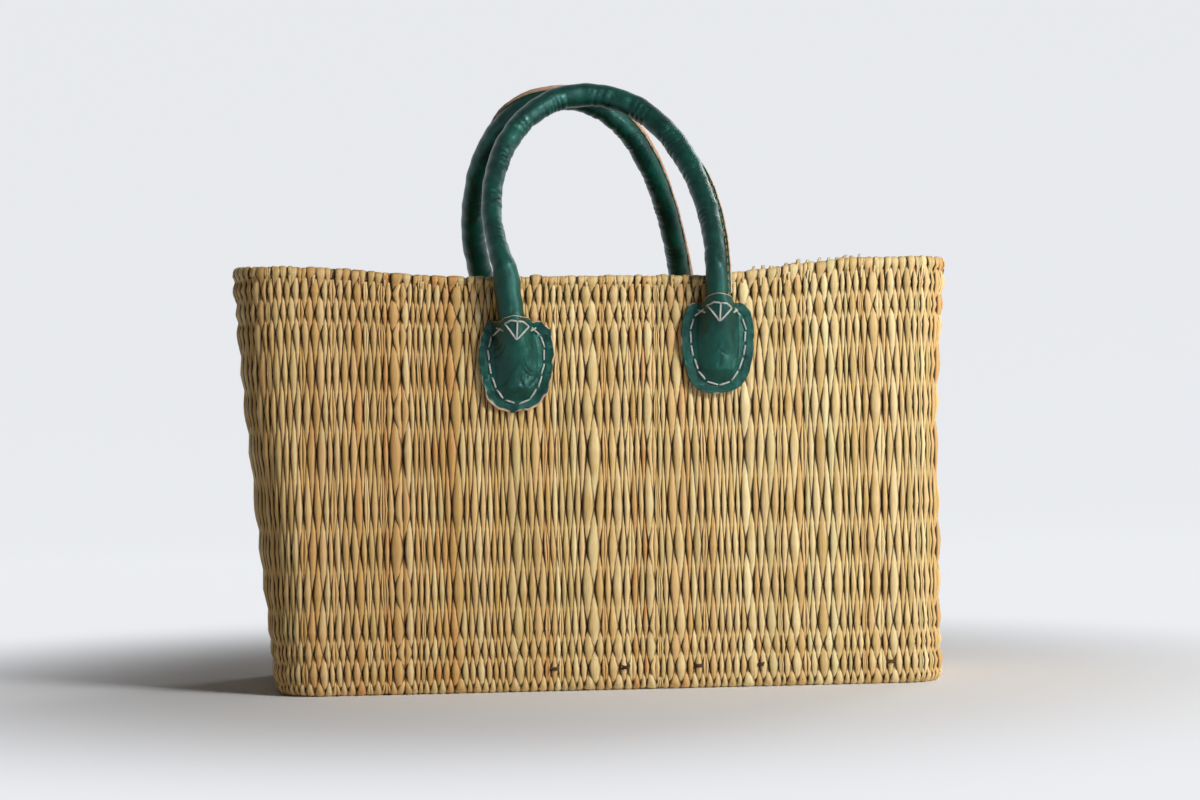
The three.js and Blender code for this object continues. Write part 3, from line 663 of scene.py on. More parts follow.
def stem_path(outside_at_rim, depth, rounded):
    """The path that every stem of one kind follows, from its tuck under the base to its tuck at the rim, as arrays of
    out (from the wall's middle), level, share of full width, and side (1 outside a cord, -1 inside it). Between two
    cords the side runs straight from 1 to -1, and out is that line, or a sine of it where the stem is rounded. The
    width is left open there, and follows from the side."""

    def out(side):
        return depth * mix(side, math.sin(side * math.pi / 2), rounded)

    def passing(low, high, *rows):
        """Places between two levels, from side, share of the way up and width."""
        return [(out(side), mix(low, high, share), width, side) for side, share, width in rows]

    def turning(middle, level, wide, tall, rows):
        """Places on an ellipse, from angle, width and side."""
        angles = [(math.radians(turn), width, side) for turn, width, side in rows]
        return [(middle + wide * math.cos(a), level + tall * math.sin(a), width, side) for a, width, side in angles]

    radius = FOOT_TURN + (-0.6 if outside_at_rim else 1.0) * depth
    under = FOOT_TOP - radius
    if outside_at_rim:
        tuck = [(-9.0, under, 0.9, -1.0), (-6.0, under, 0.9, -1.0)]
        bend = [(70, 0.8, -1.0), (40, 0.8, -0.8), (15, 0.8, -0.4)]
        climb = passing(0, 1, (0.0, FOOT_TOP, 0.56), (0.5, 9.8, 0.78), (0.86, 12.7, 0.94))
    else:
        tuck = [(-12.0, under + 0.5, 0.95, 1.0), (-8.0, under, 1.0, 1.0)]
        bend = [(90, 1.3, 1.0), (68, 1.28, 1.0), (46, 1.14, 0.9), (28, 0.96, 0.75), (14, 0.78, 0.5)]
        climb = passing(0, 1, (0.15, 7.4, 0.55), (-0.35, 9.4, 0.66), (-0.7, 11.8, 0.84))
    rows = tuck + turning(-FOOT_TURN, FOOT_TOP, radius, -radius, bend) + climb
    side = 1.0 if outside_at_rim else -1.0
    for level, above in zip(CORD_LEVELS, CORD_LEVELS[1:]):
        shares = TALL_COURSE_SHARES if above - level > TALL_COURSE else COURSE_SHARES
        rows += passing(level, above, (side, 0, 1.0), *((side * (1 - 2 * t), t, np.nan) for t in shares))
        side = -side
    last, top = CORD_LEVELS[-1], BORDER_TOP
    rows += passing(last, top, (side, 0, 1.0))
    if outside_at_rim:
        rows += passing(last, top, (-0.6, 0.25, 0.8), (-0.1, 0.58, 0.54), (0.6, 0.84, 0.8))
        widths = ((2, 0.98), (32, 1.08), (62, 1.16), (95, 1.2), (130, 1.2), (165, 1.15), (185, 1.1))
        rows += turning(0.0, top, depth * 1.5, 3.0, [(turn, width, 1.0) for turn, width in widths])
        rows += [(-depth, top - 3.5, 1.0, 0.8), (-depth, top - 8.0, 0.9, 0.6)]
    else:
        rows += passing(last, top, (0.6, 0.28, 0.8), (0.15, 0.62, 0.58), (-0.2, 0.95, 0.66))
        rows += [(-0.2, top + 1.5, 0.95, -0.3), (-0.9, top + 2.9, 1.05, -0.4)]
    return np.array(rows).T


def stem_plan(look):
    """Where each stem stands and how broad it is. The broadness comes from a slow field, so that broad and thin stems
    gather as they do in the real weave. Returns positions, broadness, the number of strands and the random source."""
    rng = np.random.default_rng(look.seed)
    count = look.count - look.count % 2
    field = waves(3, BREADTH_TERMS, np.linspace(0, OUTLINE_LENGTH, count, endpoint=False))
    broad = 1.0 + 0.16 * field + rng.normal(0, 0.15, count)
    broad = np.where(rng.random(count) < 0.11, broad + 0.5, broad)
    strands = np.ones(count, int)
    thin = rng.random(count) < np.clip(0.13 - 0.12 * field, 0.03, 0.35)
    strands[thin] = 2 + (rng.random(thin.sum()) < 0.25)
    broad = np.clip(np.where(thin, broad * 0.95, broad), 0.6, 1.75)
    return side_by_side(broad) * OUTLINE_LENGTH, broad, strands, rng


def side_by_side(broad):
    """The middles of stems laid side by side, as shares of the whole."""
    ends = np.cumsum(broad)
    return (ends - broad / 2) / ends[-1]


def neighbour_halves(positions, broad, step):
    """How far each stem may spread to its right and left before it meets the neighbour that is step stems away."""
    after = np.roll(positions, -step) - positions
    after = np.where(after < 0, after + OUTLINE_LENGTH, after)
    shares = broad / (broad + np.roll(broad, -step))
    return after * shares, np.roll(after * (1 - shares), step)


def stem_wander(s, level):
    """How far the stems lean aside from upright: a slow field that vanishes at the table and eases at the rim."""
    grip = smooth(level / 40.0) * (1 - 0.4 * smooth((level - 200) / 60.0))
    return 0.7 * grip * waves(21, WANDER_TERMS, s, level) + 0.25 * grip * waves(22, DRIFT_TERMS, s, level)


def rush_kinds(rng, positions, broad):
    """Tone, ripeness and greenness of each stem: bundles of rushes cut together share a slow field, and painted light
    makes the stems paler towards the right and darker and more golden towards the left.
    """
    count = len(positions)
    slow = waves(31, BUNDLE_TERMS, positions)
    tone = np.clip(0.46 + 0.1 * slow + rng.normal(0, 0.2, count) + 0.1 * (broad > BROAD), 0, 1)
    # Painted light and shade: paler stems towards the right, where the light falls, and darker, more golden ones
    # towards the left
    painted_light_side = smooth((wall_point(positions, 100.0, 0.0)[:, 0] + 160.0) / 360.0)
    tone = np.clip(tone + 0.26 * (painted_light_side - 0.6), 0, 1)
    ripe = np.clip(rng.normal(0.1, 0.16, count) + 0.22 * (1 - painted_light_side), 0, 1)
    ripe = np.where(rng.random(count) < 0.11, rng.uniform(0.45, 0.95, count), ripe)
    fresh = np.where(rng.random(count) < 0.14, rng.uniform(0.3, 0.8, count), rng.uniform(0, 0.12, count))
    return together(tone, ripe, fresh)


def carried(aside, along, over, half, lift):
    """The lens-shaped section carried along many lines at once. A line runs by along and over in its own plane, at
    its place aside. A point of the section lies half x ACROSS to its side and lift along the line's normal."""
    rise, run = np.gradient(along, axis=1), np.gradient(over, axis=1)
    size = np.maximum(np.hypot(rise, run), 1e-9)
    return (
        aside[..., None] + half[..., None] * ACROSS,
        along[..., None] - (run / size)[..., None] * lift,
        over[..., None] + (rise / size)[..., None] * lift,
    )


def own_fibres(chance):
    """How far each stem's UVs are shifted across and along, so that no two show the same fibres."""
    return np.arange(len(chance))[:, None, None] * 3.7, chance * 40


def stem_group(points, kinds, edge, outside, chance, half, along, shifts):
    """A group of stems as rush_piece takes it: points, kinds, places and UVs in centimetres, shifted for each stem."""
    points[..., 2] = np.maximum(points[..., 2], FLOOR_GAP)
    ones = np.ones(points.shape[:3])
    uv = together(half[..., None] * ACROSS * CM + shifts[0], along[..., None] * CM + shifts[1])
    return points, together(*kinds.T[:, :, None, None], ones), together(edge, outside, chance, ones), uv


def rush_piece(name, groups, *replaced):
    """Joins groups of stems into one piece of rush."""
    parts, start = [], 0
    for points, *values in groups:
        flat, quads, caps = many_tubes(points)
        parts.append([flat, quads + start, caps + start] + [v.reshape(-1, v.shape[-1]) for v in values])
        start += len(flat)
    *mesh, kinds, places, uv = (np.concatenate(column) for column in zip(*parts))
    attributes = {"rush_kind": kinds, "rush_place": places}
    add_piece(name, mesh, rush_material(), "rush", replaced, attributes=attributes, uv=uv)


def build_rushes(look):
    """All the stems of the wall, as six pieces. A stem is a lens-shaped section carried along its path. Where it passes
    outside or inside a cord it spreads until it meets the next stem of its own kind, and where the two kinds cross it
    is squeezed between its direct neighbours, so that each pass shows as a pointed lozenge. A stem of two or three
    strands shares its width among them."""
    positions, broad, strands, rng = stem_plan(look)
    depth, thickness = look.weave_depth / MM, look.stem_thickness / MM
    count = len(positions)
    crossing = [half * CROSS_OVERLAP for half in neighbour_halves(positions, broad, 1)]
    opening = LEAST_OPENING + OPENING_RANGE * rng.random(count) ** 2
    passing = neighbour_halves(positions, broad, 2)
    roundness = np.clip(rng.normal(0.02, 0.1, count) + 0.9 * smooth((broad - BROAD) / 0.2), 0, 1)
    kinds = rush_kinds(rng, positions, broad)
    lean = rng.normal(0, 0.25, count)
    owner = np.repeat(np.arange(count), strands)
    share = 1.0 / strands[owner]
    centre = -1 + share * (2 * np.concatenate([np.arange(n) for n in strands]) + 1)
    centre = np.where(share < 1, centre + rng.normal(0, 0.06, len(owner)), centre)
    chance = rng.random(len(owner))
    strand_tone = rng.normal(0, 0.1, len(owner))
    parts = {name: [] for name in WALL_PIECES}
    for kind, outside_at_rim in enumerate((True, False)):
        out, level, width, side = stem_path(outside_at_rim, depth, 0.0)
        rounded_out = stem_path(outside_at_rim, depth, 1.0)[0]
        above = level - CORD_LEVELS[-1]
        mine = owner % 2 == kind
        stem = owner[mine]
        at, soft, slack = (values[stem][:, None] for values in (positions, roundness, lean))
        part, middle, luck = (values[mine][:, None] for values in (share, centre, chance))
        # Width: from the crossing to the full pass, with a slight opening between the stems of one kind
        rounded = mix(np.abs(side), np.sin(np.abs(side) * np.pi / 2), soft)
        spread = np.where(np.isnan(width), rounded, (width - 0.5) * 2)
        opened = 1 - smooth((above - 1.0) / 4.0) - smooth((8.0 - level) / 5.0)
        right, left = (
            mix(narrow[stem][:, None], wide[stem][:, None] - opened * np.roll(opening, shift)[stem][:, None], spread)
            for narrow, wide, shift in zip(crossing, passing, (-1, 1))
        )
        half = (right + left) / 2
        s = at + (right - left) / 2 + middle * half
        overlap = STRAND_OVERLAP + STRAND_BORDER_OVERLAP * smooth((above - 1.0) / 5.0)
        half = half * part * (1 + np.where(part < 1, overlap, 0.0))
        left, right = (upright(edge + stem_wander(edge, level), level) for edge in (s - half, s + half))
        s, half = (right + left) / 2, (right - left) / 2
        # Place: in the border the stems slant, and their ends are ragged
        in_border = np.clip(above / BORDER_HEIGHT, 0, 1.2)
        s = s + in_border * (BORDER_SLANT + 2.0 * slack) * (1.0 if outside_at_rim else 0.5)
        waver = COURSE_WAVER * waves(8, WAVER_TERMS, at) + 0.5 * slack
        ragged = smooth(in_border - 0.4) * (0.5 * np.roll(lean, 5)[stem][:, None] - 0.1) * 2.4
        levels = level + waver * middle_height(level) ** 0.5 + ragged
        bold = 1 + 0.4 * bell(above, 0, 7.0) + 0.25 * bell(level, CORD_LEVELS[0], 6.0)
        bow = mix(out, rounded_out, soft) * (1 + 0.12 * slack) * bold
        fat = thickness / 2 * np.clip((half / USUAL_HALF_WIDTH) ** 0.5, 0.5, 1.2)
        fat = fat * mix(1.0, 0.55, smooth((above - 3.0) / 5.0))
        lift = fat[..., None] * FACE + (0.12 * slack * half)[..., None] * ACROSS
        points = wall_point(*carried(s, levels, bow, half, lift))
        # Painted shade at the edges: a strand's own edges count outside a cord, those of its whole stem inside it
        of_stem = np.minimum(np.abs(middle[..., None] + part[..., None] * ACROSS), 1)
        edge = mix(of_stem, np.abs(ACROSS), smooth((side + 0.1) / 0.7)[:, None])
        outside = mix(1 - side[:, None], 1 + side[:, None], ON_FACE) / 2
        tints = kinds[stem] + strand_tone[mine][:, None] * np.array([1, 0, 0])
        luck = luck[..., None]
        group = stem_group(points, tints, edge, outside, luck, half, levels, own_fibres(luck))
        knots = np.interp(positions[stem], OUTLINE_KNOTS, np.arange(9))
        for name, (low, high) in WALL_PIECES.items():
            chosen = (knots >= low) & (knots < high)
            parts[name].append([values[chosen] for values in group])
    for name, groups in parts.items():
        rush_piece(name, groups, "wall_weave", "rim_border")


STRIP_COUNT = 100
LOOSE_TIPS = np.array([97.0, 104, 109, 118, 125, 131, 138, 144, 149, 153, 158, 163])
TIP_LINE = [(0.0, -6.0), (0.1, -3.0), (0.2, -1.0), (0.5, 0.5), (0.9, 1.6), (1.3, 2.5)]


def build_rim_strips(look):
    """Thin split ends along the rim: strips that lie over the border at a slant, bent over it to the inside, and a few
    loose tips that stand up where the ends fray."""
    rng = np.random.default_rng(look.seed + 9)
    strips, loose = (STRIP_COUNT, 1), (len(LOOSE_TIPS), 1)
    s = np.sort(rng.uniform(0, OUTLINE_LENGTH, STRIP_COUNT))[:, None]
    turns = np.radians(np.arange(0, 181, 30))
    top = BORDER_TOP
    level = np.concatenate([[top - 8.0, top - 5.0, top - 2.0], top + 3.15 * np.sin(turns), [top - 2.5, top - 6.0]])
    out = np.concatenate([[0.4, 1.5, 2.0], 2.0 * np.cos(turns), [-2.0, -1.6]])
    share = np.linspace(0, 1, len(level))
    s = s + rng.normal(0.9, 1.3, strips) * (share - 0.2)
    half = rng.uniform(0.6, 1.7, strips) * np.interp(share, [0, 0.3, 1], [0.25, 1, 1])
    level = level + rng.uniform(-0.15, 0.25, strips)
    aside, rise = sampled(share * (len(TIP_LINE) - 1), range(len(TIP_LINE)), np.array(TIP_LINE)).T
    tip_level = RIM_LEVEL - 0.3 + rise * rng.uniform(0.5, 1.2, loose)
    tip_out = rng.normal(0, 1.2, loose) * share
    tip_s = front_s(LOOSE_TIPS)[:, None] + rng.normal(0.3, 0.8, loose) * aside
    tip_half = rng.uniform(0.7, 1.6, loose) * np.interp(share, [0, 0.85, 1], [1, 1, 0.7])
    pairs = ((s, tip_s), (level, tip_level), (np.broadcast_to(out, level.shape), tip_out), (half, tip_half))
    s, level, out, half = (np.concatenate(pair) for pair in pairs)
    lift = 0.4 * FACE * np.clip(half, 0.3, 1)[..., None]
    points = wall_point(*carried(s, level, out, half, lift))
    kinds = rush_kinds(rng, s[:, 0], np.ones(len(s)))
    kinds[:, 0] = np.clip(kinds[:, 0] + 0.1, 0, 1)
    chance = rng.random((len(s), 1, 1))
    group = stem_group(points, kinds, np.abs(ACROSS), 1.0, chance, half, level, (chance * 50, 0.0))
    rush_piece("rim_strips", [group], "rim_border")


# Cords

BASE_MIDDLE = 3.1
BASE_CORD_YS = [-60.0, -36.0, -12.0, 12.0, 36.0, 60.0]
BASE_DEPTH = 1.45
BASE_PITCH = 2.9
BASE_MARGIN = 8.0
KNOT_XS = np.array([-38.4, 8.5, 56.2, 97.1, 184.2])
KNOT_LENGTH = 7.4
KNOT_HEIGHT = 3.6
KNOT_SLOPE = 0.8
CORD_TWIST = 1.15


def twisted_section(turns, radius):
    """The section of a two-ply cord at each step: a round that is drawn in at its two grooves, turned by the twist."""
    angle = round_steps(8)
    grown = radius * (0.84 + 0.16 * np.cos(2 * (angle - turns[:, None])))
    return grown * np.cos(angle), grown * np.sin(angle)


def build_cords():
    """The wall's cords and the rim's: a twisted section carried round the wall's middle at each level. The base's
    cords run straight from end to end."""
    s = np.linspace(0, OUTLINE_LENGTH, 440, endpoint=False)
    across, up = twisted_section(s * CORD_TWIST, CORD_RADIUS)
    waver = 0.45 * waves(8, WAVER_TERMS, s)[:, None]
    strips = [
        wall_point(s[:, None], level + waver * middle_height(level) ** 0.5 + up, across)
        for level in CORD_LEVELS + [RIM_LEVEL - 5.5]
    ]
    names = [f"wall_cord_{k}" for k in range(1, 13)] + ["rim_cord"]
    add_piece("wall_cords", many_tubes(np.stack(strips), closed=True), cord_material(), "cord", names, flip=True)
    names = [f"base_cord_{k}" for k in range(1, 7)]
    low, high = box_mm(names[0])
    along = np.linspace(low[0], high[0], 180)
    across, up = twisted_section(along * CORD_TWIST, CORD_RADIUS)
    strips = [together(along[:, None], y + across, BASE_MIDDLE + up) for y in BASE_CORD_YS]
    add_piece("base_cords", many_tubes(np.stack(strips)), cord_material(), "cord", names)


def build_knots():
    """Where two lengths of the lowest cord are tied, their ends cross over the outside of the stems: two short twisted
    cords to a knot, each an arc out = 3.6 sin(pi t)^0.7 over the wall."""
    share = np.linspace(0, 1, 26)[:, None]
    across, up = twisted_section(share[:, 0] * 9.0, 1.05)
    strips = []
    for place in front_s(KNOT_XS):
        for slope in (-KNOT_SLOPE, KNOT_SLOPE):
            level = CORD_LEVELS[0] + slope * np.sin(np.pi * (share - 0.5)) + up
            out = KNOT_HEIGHT * np.sin(np.pi * share) ** 0.7 + 0.4 * slope + across
            strips.append(wall_point(place + (share - 0.5) * KNOT_LENGTH, level, out))
    add_piece("cord_knots", many_tubes(np.stack(strips)), cord_material(), "cord", ["wall_cord_1"], flip=True)


# Base

def build_base(look):
    """The floor of the bag: stems across its width that pass under and over six cords by turns. Each runs up to the
    outline's inner edge, so that the ones near the ends are shorter."""
    rng = np.random.default_rng(look.seed + 5)
    left, right = -LEFT_REACH[0] + BASE_MARGIN, RIGHT_REACH[0] - BASE_MARGIN
    count = int((right - left) / BASE_PITCH) // 2 * 2
    pitch = (right - left) / count
    broad = np.clip(1 + rng.normal(0, 0.22, count), 0.6, 1.7)
    x = left + side_by_side(broad) * (right - left)
    past = np.maximum(0, np.maximum(CORNER_RADIUS - LEFT_REACH[0] - x, x - RIGHT_REACH[0] + CORNER_RADIUS))
    ends = HALF_DEPTH - CORNER_RADIUS + np.sqrt(np.maximum((CORNER_RADIUS - 7.0) ** 2 - past**2, 4.0))
    rows = np.arange(len(BASE_CORD_YS) + 2)
    spans = [(k, 5 if k in (0, rows[-2]) else 7) for k in rows[:-1]]
    steps = np.concatenate([np.linspace(k, k + 1, n, endpoint=False) for k, n in spans] + [rows[-1:]])
    kinds = rush_kinds(rng, x, broad)
    groups = []
    for kind in (0, 1):
        mine = np.arange(count) % 2 == kind
        here = x[mine][:, None]
        side = np.interp(steps, rows, np.where(rows % 2 == kind, 1.0, -1.0))
        y = np.stack([np.interp(steps, rows, [-end, *BASE_CORD_YS, end]) for end in ends[mine]])
        z = BASE_MIDDLE + BASE_DEPTH * np.broadcast_to(mix(side, np.sin(side * np.pi / 2), 0.55), y.shape)
        half = pitch * broad[mine][:, None] * mix(0.55, 0.95, np.abs(side))
        lift = 0.95 * np.clip((half / 2.6) ** 0.35, 0.55, 1.1)[..., None] * FACE
        wobble = 0.7 * np.sin(y / 31.0 + here / 17.0)
        points = together(*carried(here + wobble, y, z, half, lift))
        chance = rng.random((len(here), 1, 1))
        outside = ((np.abs(side) + 1) / 2)[:, None]
        groups.append(stem_group(points, kinds[mine], np.abs(ACROSS), outside, chance, half, y, own_fibres(chance)))
    rush_piece("base_rushes", groups, "base_weave")


# Leather patches

PATCH_OUTLINE = [
    (0, 0), (8, 0.9), (14.2, 4), (18.8, 10.6), (21.8, 21.5), (23.2, 33), (23.0, 43), (20.4, 52), (16.6, 56.3),
    (13.2, 56.9), (10.9, 56.4), (9.6, 57.5), (8.2, 60.2), (4.5, 61.9), (0, 62.4),
]
STITCH_LINE = [
    (0, 5.2), (5.2, 6.0), (9.6, 9.4), (12.7, 14.2), (15.2, 20.8), (17.0, 29), (17.8, 37), (16.8, 44), (14.2, 49.2),
    (9.8, 53.2), (4.0, 55.5), (0, 56),
]
PATCH_MIDDLE = np.array([0.0, 32.0])

# The stitches, how far they stand in from the edge, and the two lobes beside the tube where their row ends
STITCH_INSET = 5.9
STITCH_LENGTH = 6.9
STITCH_SPACE = 1.6
STITCH_LOBES = ((9.6, 53.4), (-9.6, 53.4))

# Heights over a patch's foot, half sizes of the tube, and the patch's dome, puff, groove and cut edge
COLLAR = PATCH_HEIGHT + 3.0
COLLAR_FOOT = 57.5
TIP = 16.0
TIP_HALF = (8.0, 2.6)
TUBE_HALF = 7.5
DOME_MARGIN = 4.4
DOME_BLEND = 0.9
PUFF_HEIGHT = 5.4
GROOVE_DEPTH = 0.55
CREASE_COUNT = 11
LEG_BEND = 35.0
EDGE_ROUNDS = (0.35, 0.3)

# The four patches: side, place of the foot, the handle's neck, seed, curl of the margin and height of the collar
PATCHES = {
    "front_left": dict(side=-1, x=-52.7, foot=176.5, neck=FRONT_ARCH["left"], seed=3, curl=2.4, collar=0.5),
    "front_right": dict(side=-1, x=75.3, foot=186.8, neck=FRONT_ARCH["right"], seed=14, curl=0.7, collar=1.0),
    "back_left": dict(side=1, x=-58.0, foot=180.0, neck=BACK_ARCH["left"], seed=25, curl=1.2, collar=0.9),
    "back_right": dict(side=1, x=77.0, foot=184.0, neck=BACK_ARCH["right"], seed=36, curl=1.0, collar=0.8),
}


def patch_shapes():
    """The four patches with their names and outlines."""
    shapes = {name: dict(shape, name=name) for name, shape in PATCHES.items()}
    for shape in shapes.values():
        shape["line"] = patch_outline(shape)
    return shapes


def mirrored_curve(half, stretch, count):
    """A closed smooth curve (Catmull-Rom) through the points of its right half and the same ones mirrored, at even
    steps of length."""
    p = np.array(half + [(-x * stretch, v) for x, v in half[-2:0:-1]], float)
    t = np.linspace(0, 1, 24, endpoint=False)[None, :, None]
    a, b, c, d = (np.roll(p, shift, 0)[:, None] for shift in (1, 0, -1, -2))
    curve = 0.5 * (2 * b + (c - a) * t + (2 * a - 5 * b + 4 * c - d) * t**2 + (3 * b - a - 3 * c + d) * t**3)
    return even_steps(curve.reshape(-1, 2), count, closed=True)


def patch_outline(shape):
    """The egg-shaped edge of a patch about its foot, a little uneven as leather cut by hand is."""
    line = mirrored_curve(PATCH_OUTLINE, 1.01, 240) - PATCH_MIDDLE
    angle = np.arctan2(line[:, 1], line[:, 0])
    uneven = 1 + 0.012 * waves(shape["seed"], [2, 3, 5], angle) + 0.007 * shape["curl"] * waves(5, [13, 21], angle)
    line = PATCH_MIDDLE + line * uneven[:, None]
    over = line[:, 1] > COLLAR_FOOT
    line[over, 1] = COLLAR_FOOT + (line[over, 1] - COLLAR_FOOT) * shape["collar"]
    return line


def inside_distance(points, line):
    """Distance of every point from a closed line."""
    along = np.roll(line, -1, 0) - line
    flat = points.reshape(-1, 1, 2)
    t = np.clip(((flat - line) * along).sum(-1) / np.maximum((along**2).sum(-1), 1e-9), 0, 1)
    return np.linalg.norm(flat - line - t[..., None] * along, axis=-1).min(axis=1).reshape(points.shape[:-1])


def leg_shape(v):
    """Half width, half thickness and middle height over the wall of the tube's end, at a height over the patch's foot.
    It is flattened at its tip and round at the collar."""
    q = np.clip((v - TIP) / (COLLAR - TIP), 0, 1)
    half_width = mix(TIP_HALF[0], TUBE_HALF, q) + 1.5 * np.sin(np.pi * q)
    half_thickness = mix(TIP_HALF[1], TUBE_HALF, smooth(q))
    return half_width, half_thickness, half_thickness + TUBE_TO_WALL


def leg_x(shape, v):
    """The tube's middle line over the patch: straight up the patch's middle, then on to its place at the hinge."""
    top = HINGE_LEVEL - shape["foot"]
    return (shape["neck"] - shape["x"]) * np.clip((v - LEG_BEND) / (top - LEG_BEND), 0, 1)


def patch_height(shape, x, v):
    """Height of a patch's outside over the wall at x and v from its foot: the leather's thickness, a groove along the
    stitches, a puff inside them, and a dome of the form 1 - |u|^2.2 over the tube, with creases where it is drawn."""
    edge = inside_distance(together(x, v), shape["line"])
    half_width, half_thickness, middle = leg_shape(np.maximum(v, TIP))
    u = np.abs(x - leg_x(shape, v)) / (half_width + DOME_MARGIN)
    fade = smooth((v - STITCH_INSET - 1.0) / (TIP - STITCH_INSET - 1.0))
    dome = (middle + half_thickness + 0.9) * np.maximum(0, 1 - u**2.2) * fade
    covered = smooth((dome - 1.0) / 4.0)
    inner = smooth((edge - STITCH_INSET + 0.5) / 13.0)
    sheet = 0.35 + PUFF_HEIGHT * inner * (1 - 0.5 * covered)
    sheet = sheet - GROOVE_DEPTH * bell(edge, STITCH_INSET, 1.0) * (1 - covered)
    margin = waves(shape["seed"] + 1, [(0.31, 0.2), (0.64, -0.47), (0.2, 0.9)], x, v)
    sheet = sheet + 0.4 * shape["curl"] * np.exp(-edge / 3.0) * (margin + 0.6)
    height = np.log(np.exp(sheet * DOME_BLEND) + np.exp(dome * DOME_BLEND)) / DOME_BLEND - 0.55 * np.exp(-dome)
    return height + patch_creases(shape, x, v, edge, covered)


def patch_creases(shape, x, v, edge, covered):
    """Creases of a patch: eleven short slanting folds, each a valley with a ridge beside it, of the form
    (1.1a - 1) exp(-a^2 - l^2) across a and along l, and slight waves where the sheet is pulled over the tube."""
    rng = np.random.default_rng(shape["seed"] + 3)
    total = 0.0
    for _ in range(CREASE_COUNT):
        at_x, at_v = rng.uniform(-11, 12), rng.uniform(10, 42)
        slant = rng.uniform(-0.95, 0.95)
        length, width, deep = rng.uniform(3.0, 7.0), rng.uniform(0.8, 1.7), rng.uniform(0.35, 0.8)
        along = (x - at_x) * np.sin(slant) + (v - at_v) * np.cos(slant)
        aside = ((x - at_x) * np.cos(slant) - (v - at_v) * np.sin(slant) + 0.05 * along**2 * np.sign(slant)) / width
        total = total - deep * (1 - 1.1 * aside) * np.exp(-(aside**2) - (along / length) ** 2)
    pulled = 0.16 * covered * waves(shape["seed"] + 4, [(0.4, 0.5), (0.62, 0.35), (-0.5, 0.7)], x, v)
    return 0.6 * total * smooth((edge - 2.5) / 5.0) + pulled


def on_wall(shape, x, v, height):
    """A point over the front or back wall, from x and v about a patch's foot and its height over the wall."""
    level, x = shape["foot"] + v, shape["x"] + x
    s = front_s(x) if shape["side"] < 0 else OUTLINE_KNOTS[4] + RIGHT_REACH[1] - CORNER_RADIUS - x
    over = HALF_DEPTH + height + PATCH_LIFT + wall_swell(s, level) * 0.6
    return together(x, shape["side"] * over, level)


def build_patch(shape):
    """One patch as a closed sheet of leather. Its grid is polar about the middle: rings of the outline drawn in, with
    the outside, the cut edge and the underside one after another. Its margin is raw where it is uneven, and on the
    curled patch where the foot rolls up."""
    spans = np.concatenate([np.linspace(0.02, 0.9, 58), np.linspace(0.915, 0.975, 5), [0.986, 0.995]])
    rings = np.concatenate([spans, [1, 1], spans[::-1]])[:, None]
    line = even_steps(shape["line"], 200, closed=True) - PATCH_MIDDLE
    x, v = np.moveaxis(PATCH_MIDDLE + line * rings[..., None], -1, 0)
    flat, thick = np.zeros(len(spans)), np.full(len(spans), PATCH_THICKNESS)
    down = np.concatenate([flat, [EDGE_ROUNDS[0], PATCH_THICKNESS - EDGE_ROUNDS[1]], thick])[:, None]
    points = on_wall(shape, x, v, patch_height(shape, x, v) + PATCH_THICKNESS - down)
    # Painted shade: the creases' valleys, which the leather material darkens
    crease_shade = np.clip(-patch_creases(shape, x, v, 9.0, 0.0) * 1.8, 0, 1)
    uneven = 0.5 + 0.5 * waves(shape["seed"] + 6, [(0.3, 0.2), (0.7, -0.5)], x, v)
    cut = smooth((uneven - 0.9 + 0.22 * shape["curl"]) / 0.25)
    raw = np.interp(rings, (0.975, 0.986, 0.995, 1.0), (0.0, 0.55, 0.8, 1.0)) * np.where(v > COLLAR_FOOT, 0.9, cut)
    rolled = smooth((15.0 - v) / 5.0) * smooth((np.abs(x) - 2.0) / 3.0) * smooth((1.6 - (1 - rings) * 27.0) / 0.6)
    raw = np.maximum(raw, 0.55 * rolled * smooth((shape["curl"] - 2.0) / 0.3))
    add_piece(
        f"{shape['name']}_leather", many_tubes(points[None]), leather_material(), "leather", [f"{shape['name']}_patch"],
        flip=shape["side"] < 0, attributes={"raw": raw.ravel(), "crease_shade": crease_shade.ravel()},
    )


def thread_runs(shape):
    """The stitches of a patch as lines of (x, v): running stitches along the edge from one lobe round the foot to the
    other, one across each lobe, and a star of three where the tube leaves, its tops joined by two arcs."""
    inset = mirrored_curve(STITCH_LINE, 1, 400)
    right, left = (np.argmin(np.linalg.norm(inset - lobe, axis=1)) for lobe in STITCH_LOBES)
    inset = np.roll(inset, -left, axis=0)[: (right - left) % len(inset)][::-1]
    run = run_of(inset)
    count = round((run[-1] + STITCH_SPACE) / (STITCH_LENGTH + STITCH_SPACE))
    pitch = (run[-1] + STITCH_SPACE) / count
    rng = np.random.default_rng(shape["seed"] + 40)
    lines = []
    for k in range(count):
        low = k * pitch + rng.normal(0, 0.3)
        ends = sampled(np.array([low, low + pitch - STITCH_SPACE + rng.normal(0, 0.3)]), run, inset)
        lines.append(ends + rng.normal(0, 0.25, (2, 2)))
    lines += [[(side * 12.6, 52.6), (side * 8.9, 50.6)] for side in (-1, 1)]
    apex = (-0.8, 44.8)
    tops = np.array([(-8.2, 55.0), (-0.4, 56.4), (7.6, 53.4)])
    lines += [[apex, top] for top in tops]
    for a, b in zip(tops, tops[1:]):
        bow = (a + b) / 2 + np.array([0, 1.3])
        lines.append([a, mix(a, bow, 0.8), bow, mix(b, bow, 0.8), b])
    return np.stack([even_steps(line, 13) for line in lines])


